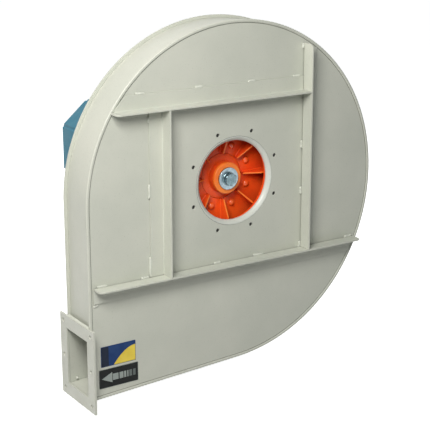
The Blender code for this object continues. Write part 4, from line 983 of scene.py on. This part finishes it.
def rear_angles():
    """The two upright angles on the rear plate."""
    heel = PEDESTAL_HALF_WIDTH - PEDESTAL_SHEET - GAP
    centre = (HEEL_OUTER_ROUND, HEEL_OUTER_ROUND)
    outer = [(0, ANGLE_LEG), *arc(*centre, HEEL_OUTER_ROUND, 180, 270, 15), (ANGLE_LEG, 0)]
    inner = [(ANGLE_LEG, ANGLE_SHEET), *arc(*centre, HEEL_INNER_ROUND, 270, 180, 15),
             (ANGLE_SHEET, ANGLE_LEG)]
    for side, label in SIDES:
        outline = [(side * (heel - u), CASING_DEPTH + GAP + v) for u, v in outer + inner]
        mesh = sheet([outline], REAR_ANGLE_BOTTOM, REAR_ANGLE_TOP, "Z")
        add(f"rear_angle_bar_{label}", mesh, [f"rear_angle_{label}"])
        x, y = side * (heel - ANGLE_LEG - 0.0005), CASING_DEPTH + 0.001
        beads(f"rear_angle_welds_{label}", [((x, y, z - 0.018), (x, y, z + 0.018), (-side * 0.5, 1, 0))
                                            for z in REAR_ANGLE_STITCHES])


def seal_plate():
    """The ring plate round the shaft, with its four screws."""
    front = CASING_DEPTH + GAP
    rear = front + SEAL_SHEET
    ring = softened(rectangle(SHAFT_RADIUS + SHAFT_CLEARANCE, front, SEAL_RADIUS, rear), 0.0006)
    add("seal_ring", revolved(ring), ["shaft_seal_plate"], angle=TURNED_ANGLE)
    heads = [dome(*SEAL_SCREW, turned_to(REAR, (x, rear, z))) for x, z in circle(0, 0, SEAL_SCREW_CIRCLE, 4)]
    add_zinc("seal_ring_screws", merged(heads))


def pedestal():
    """The motor's stand with its welds."""
    rear = PEDESTAL_FRONT + PEDESTAL_LENGTH - RAIL_TOE
    under_top = PEDESTAL_TOP - TOP_PLATE - GAP
    over_rail = FLOOR + RAIL_THICKNESS + GAP
    near_casing = CASING_DEPTH + ANGLE_SHEET + 2 * GAP
    rail_end = PEDESTAL_FRONT + PEDESTAL_LENGTH
    side_shape = [(near_casing, under_top), (rear, under_top), (rail_end, over_rail),
                  (RAIL_START, over_rail), (near_casing, REAR_ANGLE_BOTTOM - RAIL_TOE)]
    inner = PEDESTAL_HALF_WIDTH - PEDESTAL_SHEET
    for side, label in SIDES:
        low, high = sorted((side * inner, side * PEDESTAL_HALF_WIDTH))
        add_stand(f"stand_side_{label}", sheet([side_shape], low, high, "X"), [f"pedestal_{label}_side"])
        low, high = sorted((side * (PEDESTAL_HALF_WIDTH - RAIL_WIDTH), side * PEDESTAL_HALF_WIDTH))
        rail_x = side * (inner + PEDESTAL_HALF_WIDTH - RAIL_WIDTH - PEDESTAL_SHEET) / 2
        holes = [circle(rail_x, y, RAIL_HOLE_RADIUS)
                 for y in (RAIL_START + RAIL_HOLE_END, rail_end - RAIL_HOLE_END)]
        rim = rounded_rectangle(low, RAIL_START, high, rail_end, 0.006)
        rail = sheet([rim] + holes, FLOOR, FLOOR + RAIL_THICKNESS, "Z", 0.001)
        add_stand(f"stand_rail_{label}", rail, [f"base_rail_{label}"])
        x = side * (inner - 0.0005)
        low, high = over_rail + 0.0005, under_top - 0.0005
        runs = [((x, y, low), (x, y + 0.04, low), (-side, 0, 1)) for y in RAIL_STITCHES]
        runs += [((x, y, high), (x, y + 0.035, high), (-side, 0, -1)) for y in STAND_TOP_STITCHES]
        x, y = x - side * 0.0005, PEDESTAL_FRONT - 0.0005
        runs += [((x, y, z), (x, y, z + 0.03), (-side, -1, 0)) for z in STAND_UPRIGHT_STITCHES]
        beads(f"stand_welds_{label}", runs, finish=PEDESTAL, slot="pedestal_paint")
    for label, y in (("front", PEDESTAL_FRONT), ("rear", rear - 2 * PEDESTAL_SHEET)):
        rim = rectangle(-inner + GAP, over_rail, inner - GAP, under_top)
        add_stand(f"stand_cross_{label}", sheet([rim], y, y + PEDESTAL_SHEET), [f"pedestal_{label}_plate"])
    half = PEDESTAL_HALF_WIDTH + TOP_PLATE_MARGIN
    rim = rounded_rectangle(-half, near_casing + ANGLE_LEG, half, rear, 0.004)
    holes = [circle(x, y, FOOT_BOLT_RADIUS + GAP) for x, y in foot_places()]
    top = sheet([rim] + holes, PEDESTAL_TOP - TOP_PLATE, PEDESTAL_TOP, "Z", 0.001)
    add_stand("stand_top", top, ["pedestal_top_plate"])


def foot_places():
    """Centres of the motor's four foot bolts."""
    first = MOTOR_FRONT + FIRST_FOOT
    return [(side * FOOT_SPACING_X / 2, first + step * FOOT_SPACING_Y) for side in (-1, 1) for step in (0, 1)]


def bolt(name, node, radius, seat, direction, length, washer):
    """A hexagon bolt with a washer under its head, and its shank behind the seat."""
    seat, direction = Vector(seat), Vector(direction)
    head = turned_to(direction, seat + direction * washer)
    parts = [hexagon_head(radius * BOLT_HEAD_SHARE, radius * BOLT_HEIGHT_SHARE - washer / 2, head),
             disc(radius * WASHER_SHARE, washer, turned_to(direction, seat)),
             disc(radius, length, turned_to(-direction, seat), 24)]
    add_zinc(name, merged(parts), [node], angle=HEAD_ANGLE)


def fasteners():
    """Foot bolts and casing bolts."""
    top = -MOTOR_HEIGHT + FOOT_THICKNESS + GAP
    for i, (x, y) in enumerate(foot_places()):
        bolt(f"foot_screw_{i + 1}", f"foot_bolt_{i + 1}", FOOT_BOLT_RADIUS, (x, y, top), UP, *FOOT_BOLT)
    y = CASING_DEPTH + GAP + (ANGLE_SHEET + ANGLE_LEG) / 2
    places = [(side, z) for side in (-1, 1) for z in CASING_BOLT_HEIGHTS]
    for i, (side, z) in enumerate(places):
        bolt(f"stand_screw_{i + 1}", f"casing_bolt_{i + 1}", CASING_BOLT_RADIUS,
             (side * (PEDESTAL_HALF_WIDTH + GAP), y, z), (side, 0, 0), *CASING_BOLT)


def dressed(node):
    """A copy of a CAD node's mesh, its flat faces joined, moved back to the drawing's place."""
    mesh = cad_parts[node].data.copy()
    mesh.transform(Matrix.Translation(-ORIGIN))
    shape = bmesh.new()
    shape.from_mesh(mesh)
    bmesh.ops.remove_doubles(shape, verts=shape.verts, dist=0.000002)
    bmesh.ops.dissolve_limit(shape, angle_limit=math.radians(1), verts=shape.verts, edges=shape.edges)
    return as_mesh(shape, mesh)


def end_shield(face, direction):
    """A bearing shield as the solid has it, with rounder edges."""
    seat = BEARING_RADIUS + GAP
    wall = seat + 2 * BEARING_FACE
    web = SHIELD_DEPTH / 2
    deep = BEARING_FACE + BEARING_WIDTH + GAP
    spigot = BARREL_BORE_RADIUS - GAP
    inset = SHIELD_DEPTH - GAP
    bore = JOURNAL_RADIUS + SHAFT_CLEARANCE
    nose = SHIELD_DEPTH + BEARING_FACE
    shape = [(bore, 0), (wall, 0), (wall + BEARING_FACE, web / 2), (SHIELD_RADIUS, web),
             (SHIELD_RADIUS, inset), (spigot, inset), (spigot, nose), (spigot - BEARING_FACE, nose),
             (spigot - 2 * BEARING_FACE, inset), (wall, inset), (wall - BEARING_FACE / 2, deep),
             (seat, deep), (seat, BEARING_FACE), (bore, BEARING_FACE)]
    return revolved([(radius, face + direction * depth) for radius, depth in softened(shape, 0.0022)])


def motor():
    """Frame, shields, cowl, terminal box, gland and lifting eye."""
    add_motor("motor_body", dressed("motor_frame"), ["motor_frame"], edge=0.0007, angle=HEAD_ANGLE)
    add_motor("front_shield", end_shield(MOTOR_FRONT, 1), ["drive_end_shield"], angle=TURNED_ANGLE)
    heads = [hexagon_head(*SHIELD_SCREW, turned_to(FRONT, (x, MOTOR_FRONT + 0.0118, z)))
             for x, z in circle(0, 0, SHIELD_BOLT_CIRCLE, 4)]
    add_zinc("front_shield_screws", merged(heads), angle=HEAD_ANGLE)
    inner = BEARING_RADIUS + 3 * BEARING_FACE
    front = BARREL_REAR + GAP
    wall = COWL_SHEET + GAP
    parts = [end_shield(MOTOR_REAR, -1)]
    for side in (-1, 1):
        for size, upright in ((COWL_HALF_WIDTH - wall, False), (COWL_HALF_HEIGHT - wall, True)):
            low, high = sorted((side * inner, side * size))
            rim = rectangle(low, -LUG_WIDTH / 2, high, LUG_WIDTH / 2)
            if upright:
                rim = rectangle(-LUG_WIDTH / 2, low, LUG_WIDTH / 2, high)
            parts.append(sheet([rim], front, front + LUG_THICKNESS, edge=0.001))
    add_motor("back_shield", merged(parts), ["rear_end_shield"], angle=TURNED_ANGLE)
    cowl()
    terminal_box()
    lifting_eye()


def octagon(half_width, half_height):
    """A rectangle with its four corners cut off."""
    quarter = [(half_width, half_height - COWL_CHAMFER_HEIGHT),
               (half_width - COWL_CHAMFER_WIDTH, half_height)]
    return (quarter + [(-x, z) for x, z in quarter[::-1]] + [(-x, -z) for x, z in quarter]
            + [(x, -z) for x, z in quarter[::-1]])


def cowl():
    """The pressed cowl with soft edges, a slotted grille and its four screws."""
    shape = bmesh.new()
    rows = [[shape.verts.new((x, y, z)) for x, z in octagon(COWL_HALF_WIDTH, COWL_HALF_HEIGHT)]
            for y in (COWL_FRONT, COWL_REAR)]
    for i in range(8):
        j = (i + 1) % 8
        shape.faces.new((rows[0][i], rows[0][j], rows[1][j], rows[1][i]))
    shape.faces.new(rows[1])
    bmesh.ops.recalc_face_normals(shape, faces=shape.faces)
    rim = [edge for edge in shape.edges if not edge.is_boundary]
    bmesh.ops.bevel(shape, geom=rim, offset=COWL_ROUND, segments=8, affect="EDGES", clamp_overlap=True)
    shell = placed("cowl_shell", as_mesh(shape))
    wall = shell.modifiers.new("wall", "SOLIDIFY")
    wall.thickness = COWL_SHEET
    wall.offset = -1
    slots = []
    half = GRILLE_SLOT / 2
    count = int(GRILLE_RADIUS / GRILLE_PITCH)
    for i in range(-count, count + 1):
        x = i * GRILLE_PITCH
        tall = math.sqrt(GRILLE_RADIUS ** 2 - (abs(x) + half) ** 2) - half
        rim = arc(x, tall, half, 0, 180, 22.5) + arc(x, -tall, half, 180, 360, 22.5)
        slots.append(sheet([rim], COWL_REAR - 2 * COWL_SHEET, COWL_REAR + COWL_SHEET, edge=0.0001))
    cutter = placed("cowl_slots", merged(slots))
    cut = shell.modifiers.new("grille", "BOOLEAN")
    cut.operation = "DIFFERENCE"
    cut.solver = "EXACT"
    cut.object = cutter
    bpy.context.view_layer.update()
    result = evaluated(shell)
    bpy.data.objects.remove(shell)
    bpy.data.objects.remove(cutter)
    add_motor("fan_cowl_shell", cleaned(result), ["fan_cowl"], angle=30)
    y = BARREL_REAR + GAP + LUG_THICKNESS / 2
    heads = [dome(*COWL_SCREW, turned_to(out, (out[0] * COWL_HALF_WIDTH, y, out[2] * COWL_HALF_HEIGHT)))
             for out in ((-1, 0, 0), RIGHT, UP, (0, 0, -1))]
    add_zinc("cowl_screws", merged(heads))


def terminal_box():
    """Terminal box, gasket, lid with screws, and the gland."""
    low_z = FIN_TIP_RADIUS + FIN_THICKNESS + GAP
    top_z = low_z + BOX_HEIGHT
    half = BOX_SIZE / 2
    front = BARREL_FRONT + BOX_START
    rear = front + BOX_SIZE

    def ring(inset, radius):
        return rounded_rectangle(-half + inset, front + inset, half - inset, rear - inset, radius)

    inner = ring(BOX_WALL, 0.005)
    floor = sheet([ring(0, BOX_ROUND)], low_z, low_z + BOX_WALL, "Z", 0.0012)
    walls = sheet([ring(0, BOX_ROUND), inner], low_z + BOX_WALL / 2, top_z, "Z", 0.0008)
    add_motor("connection_box", merged([floor, walls]), ["terminal_box"])
    gasket = sheet([ring(0.0015, BOX_ROUND), inner], top_z - 0.001, top_z + 0.0012, "Z", 0.0003)
    add("connection_box_gasket", gasket, finish=RUBBER, slot="black_plastic")
    lid = sheet([ring(-BOX_WALL / 3, BOX_ROUND)], top_z + GAP, top_z + GAP + BOX_LID - 0.0006, "Z", 0.0022)
    add_motor("connection_box_lid", lid, ["terminal_box_lid"])
    heads = [disc(*BOX_SCREW, turned_to(UP, (x, y, top_z + BOX_LID - 0.0027)))
             for x in (-BOX_SCREW_X, BOX_SCREW_X) for y in (front + BOX_SCREW_INSET, rear - BOX_SCREW_INSET)]
    add_zinc("connection_box_screws", merged(heads))
    y, z = (front + rear) / 2, low_z + BOX_HEIGHT / 2
    turn = turned_to(RIGHT, (half + GAP, y, z))
    wide, tip = GLAND_NECK_RADIUS + 0.0018, GLAND_LENGTH - 0.0006
    cap = [(GLAND_BORE_RADIUS, 0.004), (wide, 0.004), (wide, 0.024), (GLAND_NECK_RADIUS - 0.0005, tip),
           (GLAND_BORE_RADIUS, tip)]
    dome_nut = revolved(softened(cap, 0.002), 48, turn @ FACING["Y"])
    neck = disc(GLAND_NECK_RADIUS, BOX_WALL + 0.004, turned_to(RIGHT, (half - BOX_WALL, y, z)),
                hole=GLAND_BORE_RADIUS)
    parts = [hexagon_head(GLAND_RADIUS, 0.009, turn), dome_nut, neck]
    add("gland_fitting", merged(parts), ["cable_gland"], finish=PLASTIC, slot="black_plastic", angle=45)


def lifting_eye():
    """The forged ring on its collar."""
    y = BARREL_FRONT + EYE_START
    seat = FIN_TIP_RADIUS + FIN_THICKNESS / 2 + GAP
    collar = disc(EYE_COLLAR_RADIUS, EYE_WIRE_RADIUS, turned_to(UP, (0, y, seat)), 48, 0.0012)
    wire = [(EYE_RING_RADIUS + dx, dy) for dx, dy in circle(0, 0, EYE_WIRE_RADIUS, 20)]
    ring = revolved(wire, 64, Matrix.Translation((0, y, seat + EYE_WIRE_RADIUS + EYE_RING_RADIUS)))
    neck = [(0, -0.004), (0.0105, -0.004), (0.009, 0.001), (0.0072, 0.005), (0.0055, 0.009), (0, 0.009)]
    stem = revolved(neck, 36, turned_to(UP, (0, y, seat + EYE_WIRE_RADIUS)) @ FACING["Y"], closed=False)
    add_zinc("lifting_ring", merged([collar, ring, stem]), ["lifting_eye"])


def shroud_side(offset, extra=0.0):
    """The shroud's section from its collar to its rim."""
    bend_r = EYE_RADIUS + SHROUD_BEND_RADIUS
    bend_y = SHROUD_COLLAR_FRONT + SHROUD_COLLAR
    points = [(EYE_RADIUS + offset, SHROUD_COLLAR_FRONT)]
    points += arc(bend_r, bend_y, SHROUD_BEND_RADIUS - offset, 180, 90 + SHROUD_SLOPE, 7)
    end_r, end_y = points[-1]
    rim = IMPELLER_RADIUS - extra
    return points + [(rim, end_y + (rim - end_r) * math.tan(math.radians(SHROUD_SLOPE)))]


def blades(seat):
    """The blades, their front edges in a lighter paint as a painted highlight, and the welds that hold them
    to the disc.
    """
    edge = shroud_side(-GAP, BLADE_SHEET)[1:]
    rim = edge[-1][0]
    shape = [(BLADE_INNER_RADIUS, seat), (BLADE_INNER_RADIUS, BLADE_INNER_FRONT),
             (THROAT_RADIUS - GAP, BLADE_EYE_FRONT), *(point for point in edge if point[1] > BLADE_EYE_FRONT),
             (rim, seat)]
    for i in range(BLADES):
        turn = Matrix.Rotation(-math.radians(BLADE_PHASE) - 2 * math.pi * i / BLADES, 4, "Y")
        mesh = sheet([shape], -BLADE_SHEET / 2, BLADE_SHEET / 2, "Z", 0.001)
        mesh.transform(turn)
        blade = add_rotor(f"impeller_blade_{i + 1}", mesh, [f"blade_{i + 1}"])
        # Faces that point to the front take the lighter paint: a painted highlight on the blades' front
        # edges.
        blade.data.materials.append(BOSS_HIGHLIGHT)
        for face in blade.data.polygons:
            if face.normal.y < BLADE_HIGHLIGHT_NORMAL:
                face.material_index = 1
        welds = merged([bead((BLADE_INNER_RADIUS + 0.002, seat, z), (rim - 0.004, seat, z), (0, -1, side),
                             0.005, 0.0025) for side, z in ((-1, -BLADE_SHEET / 2), (1, BLADE_SHEET / 2))])
        welds.transform(turn)
        add_rotor(f"impeller_blade_welds_{i + 1}", welds, angle=WELD_ANGLE)


def impeller():
    """Disc, shroud, blades with their welds, hub with its rivets, washer and bolt."""
    seat = DISC_FRONT - GAP
    hub_hole = circle(0, 0, HUB_BODY_RADIUS + GAP, SHAFT_ROUND)
    disc_rim = circle(0, 0, IMPELLER_RADIUS, FINE_ROUND)
    add_rotor("impeller_disc", sheet([disc_rim, hub_hole], DISC_FRONT, DISC_REAR, edge=0.0002), ["back_disc"])
    profile = softened(shroud_side(0) + shroud_side(SHROUD_SHEET)[::-1], 0.001, 2)
    add_rotor("impeller_shroud", revolved(profile, FINE_ROUND), ["front_shroud"], angle=TURNED_ANGLE)
    blades(seat)
    bore = SHAFT_RADIUS + GAP
    flange_front = DISC_REAR + GAP
    flange_rear = flange_front + HUB_FLANGE
    tail = flange_rear + HUB_TAIL
    section = [(bore, HUB_FRONT), (HUB_NOSE_RADIUS, HUB_FRONT), (HUB_NOSE_RADIUS, HUB_STEP),
               (HUB_NOSE_RADIUS + 0.006, HUB_STEP), (HUB_BODY_RADIUS, seat), (HUB_BODY_RADIUS, flange_front),
               (HUB_FLANGE_RADIUS, flange_front), (HUB_FLANGE_RADIUS, flange_rear),
               (HUB_TAIL_RADIUS, flange_rear), (HUB_TAIL_RADIUS, tail), (bore, tail)]
    add_rotor("impeller_boss", revolved(softened(section, 0.0025, 4)), ["impeller_hub"], angle=TURNED_ANGLE)
    turns = [math.radians(BLADE_PHASE) + 2 * math.pi * (i + 0.5) / BLADES for i in range(BLADES)]
    # The rivet heads take the lighter rivet paint: a painted highlight.
    rivets = [dome(RIVET_HEAD_RADIUS * 1.25, RIVET_HEAD_HEIGHT * 1.1, turned_to(FRONT, (x, seat, z)))
              for x, z in (polar(RIVET_CIRCLE_RADIUS, turn) for turn in turns)]
    add_rotor("boss_rivets", merged(rivets), finish=RIVET_HIGHLIGHT, angle=TURNED_ANGLE)
    # A lighter ring over the boss's nose: painted highlight.
    front, lip = HUB_FRONT - 0.0002, HUB_NOSE_RADIUS - 0.001
    nose = [(HUB_BOLT_RADIUS * 2, front), (HUB_NOSE_RADIUS + 0.0002, front),
            (HUB_NOSE_RADIUS + 0.0002, HUB_FRONT + 0.008), (lip, HUB_FRONT + 0.008),
            (lip, HUB_FRONT + 0.001), (HUB_BOLT_RADIUS * 2, HUB_FRONT + 0.001)]
    add_rotor("boss_face", revolved(softened(nose, 0.0025, 4)), finish=BOSS_HIGHLIGHT, angle=TURNED_ANGLE)
    face = HUB_FRONT - GAP
    washer = disc(WASHER_RADIUS, WASHER_THICKNESS, turned_to(FRONT, (0, face, 0)), 72, 0.0012,
                  HUB_BOLT_RADIUS)
    add_rotor("boss_washer", washer, ["hub_washer"], finish=ZINC, slot="zinc_plate", angle=TURNED_ANGLE)
    head = face - WASHER_THICKNESS - GAP
    collar = turned_to(FRONT, (0, head - HEAD_COLLAR, 0))
    parts = [disc(HUB_BOLT_HEAD_RADIUS * 1.02, HEAD_COLLAR, turned_to(FRONT, (0, head, 0)), 48, 0.0006),
             hexagon_head(HUB_BOLT_HEAD_RADIUS, HUB_BOLT_HEAD - HEAD_COLLAR, collar),
             disc(HUB_BOLT_RADIUS, 0.040, turned_to(REAR, (0, head, 0)))]
    add_rotor("boss_bolt", merged(parts), ["hub_bolt"], finish=SHADED_ZINC, slot="zinc_plate", angle=HEAD_ANGLE)


def carried_over():
    """Procedural looks for the CAD nodes that stay."""
    looks = {"rotor_shaft": STEEL, "shaft_key": STEEL, "drive_end_bearing": STEEL, "rear_end_bearing": STEEL,
             "rotor_core": CORE, "stator_core": CORE, "cooling_fan": PLASTIC}
    for name, look in looks.items():
        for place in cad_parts[name].material_slots:
            place.material = look


def label_piece(name, outlines, finish, slot, nodes=()):
    """A foil in place of a node's label, or without nodes a printed field on the foil."""
    front = -GAP - LABEL_SHEET
    if nodes:
        mesh = sheet(outlines, front, front + LABEL_SHEET, edge=0.00008)
    else:
        mesh = sheet(outlines, front - LABEL_PRINT, front, edge=0.00002)
    add(name, mesh, nodes, finish=finish, slot=slot, angle=30)


def labels():
    """The two foil labels: a plain arrow, and a blue field with a yellow corner."""
    corner = bottom_height(LEFT_WALL, 0)

    def ring(rise, width, height, inset, radius):
        x, z = LABEL_CENTRE_X - width / 2, corner + rise - height / 2
        return rounded_rectangle(x + inset, z + inset, x + width - inset, z + height - inset, radius, 30)

    z = corner + AIRFLOW_LABEL_RISE
    width, height = AIRFLOW_LABEL_WIDTH, AIRFLOW_LABEL_HEIGHT
    x0 = LABEL_CENTRE_X - width / 2
    rim = ring(AIRFLOW_LABEL_RISE, width, height, 0, LABEL_ROUND)
    label_piece("airflow_foil", [rim], BLACK, "black_label", ["airflow_label"])
    edge = ring(AIRFLOW_LABEL_RISE, width, height, BORDER_WIDTH, BORDER_ROUND)
    label_piece("airflow_foil_border", [rim, edge], FADED, "black_label")
    wing_x, wing_z = x0 + ARROW_END * width, ARROW_WING * height
    head = [(x0 + ARROW_TIP * width, z), (wing_x, z - wing_z), (wing_x, z + wing_z)]
    label_piece("airflow_arrow", [head], PALE, "black_label")
    for i, (low, high, finish) in enumerate(AIRFLOW_BARS):
        rise = BAR_HALF_HEIGHT * height
        bar = rectangle(x0 + low * width, z - rise, x0 + high * width, z + rise)
        label_piece(f"airflow_bar_{i + 1}", [bar], finish, "black_label")
    width, height = PLAIN_LABEL_WIDTH, PLAIN_LABEL_HEIGHT
    x0, z0 = LABEL_CENTRE_X - width / 2, corner + PLAIN_LABEL_RISE - height / 2
    rim = ring(PLAIN_LABEL_RISE, width, height, 0, LABEL_ROUND)
    label_piece("plain_foil", [rim], BLUE, "blue_label", ["plain_label"])
    low = z0 + LABEL_MARGIN
    strip = rectangle(x0 + LABEL_MARGIN, low, x0 + STRIP_END * width, z0 + height - LABEL_MARGIN)
    label_piece("plain_foil_strip", [strip], NAVY, "blue_label")
    left, right, high = x0 + CORNER_START * width, x0 + width - LABEL_MARGIN, z0 + CORNER_TOP * height
    swoosh = [(left, low)]
    for i in range(1, 13):
        t = i / 12
        swoosh.append((left + (right - left) * t, low + (high - low) * (1 - (1 - t) ** CORNER_BEND)))
    label_piece("plain_foil_corner", [swoosh + [(right, low)]], YELLOW, "blue_label")


def lamp(name, offset, size, watts, colour, mirrored):
    """A square soft lamp that points at the drawing's origin."""
    data = bpy.data.lights.new(name, "AREA")
    data.shape = "SQUARE"
    data.size = size
    data.energy = watts
    data.color = colour
    item = placed(name, data)
    item.location = ORIGIN + Vector(offset)
    item.rotation_euler = (ORIGIN - item.location).to_track_quat("-Z", "Y").to_euler()
    item.visible_glossy = mirrored


def seen_rays(tree):
    """One for rays from the camera, mirror rays and rays that pass through, else zero."""
    paths = tree.nodes.new("ShaderNodeLightPath")
    value = paths.outputs["Is Camera Ray"]
    for name in ("Is Glossy Ray", "Is Transmission Ray"):
        either = tree.nodes.new("ShaderNodeMath")
        either.operation = "MAXIMUM"
        tree.links.new(value, either.inputs[0])
        tree.links.new(paths.outputs[name], either.inputs[1])
        value = either.outputs[0]
    return value


def mixed(tree, unseen, seen, target):
    """Join the shader for rays that aren't seen and the one for rays that are to the target."""
    mix = tree.nodes.new("ShaderNodeMixShader")
    for source, socket in zip((seen_rays(tree), unseen.outputs[0], seen.outputs[0]), mix.inputs):
        tree.links.new(source, socket)
    tree.links.new(mix.outputs[0], target.inputs["Surface"])


def shader(tree, kind, socket, value):
    """A new shader node with one socket set."""
    node = tree.nodes.new(kind)
    node.inputs[socket].default_value = value
    return node


def surroundings():
    """A world that fills the shadows softly and is white to the camera."""
    world = bpy.data.worlds.new("studio")
    world.use_nodes = True
    bpy.context.scene.world = world
    tree = world.node_tree
    tree.nodes.clear()
    fill = shader(tree, "ShaderNodeBackground", "Color", WORLD_TINT)
    fill.inputs["Strength"].default_value = WORLD_FILL
    white = shader(tree, "ShaderNodeBackground", "Strength", 1.0)
    mixed(tree, fill, white, tree.nodes.new("ShaderNodeOutputWorld"))


def ground():
    """A pale floor that is white to the camera but for the object's shadow."""
    shape = bmesh.new()
    bmesh.ops.create_grid(shape, x_segments=1, y_segments=1, size=30)
    floor = placed("floor", as_mesh(shape))
    pale = bpy.data.materials.new("pale_floor")
    pale.use_nodes = True
    tree = pale.node_tree
    tree.nodes.clear()
    matt, plain = (shader(tree, "ShaderNodeBsdfDiffuse", "Color", (level, level, level, 1))
                   for level in (FLOOR_MATT, FLOOR_BOUNCE))
    glow = shader(tree, "ShaderNodeEmission", "Strength", FLOOR_GLOW)
    both = tree.nodes.new("ShaderNodeAddShader")
    tree.links.new(matt.outputs[0], both.inputs[0])
    tree.links.new(glow.outputs[0], both.inputs[1])
    mixed(tree, plain, both, tree.nodes.new("ShaderNodeOutputMaterial"))
    floor.data.materials.append(pale)


def studio():
    """Surroundings, floor, soft lamps and the camera."""
    surroundings()
    ground()
    for row in LAMPS:
        lamp(*row)
    camera = bpy.data.cameras.new("camera")
    camera.lens = CAMERA_LENS
    camera.sensor_width = 36.0
    item = placed("camera", camera)
    azimuth, elevation = math.radians(CAMERA_AZIMUTH), math.radians(CAMERA_ELEVATION)
    offset = Vector((math.sin(azimuth) * math.cos(elevation), -math.cos(azimuth) * math.cos(elevation),
                     math.sin(elevation)))
    item.location = ORIGIN + Vector(CAMERA_TARGET) + offset * CAMERA_DISTANCE
    item.rotation_euler = (-offset).to_track_quat("-Z", "Y").to_euler()
    bpy.context.scene.camera = item
    bpy.context.scene.view_settings.view_transform = "Standard"


casing()
cone()
front_angles()
rear_angles()
seal_plate()
pedestal()
fasteners()
motor()
impeller()
carried_over()
labels()
studio()
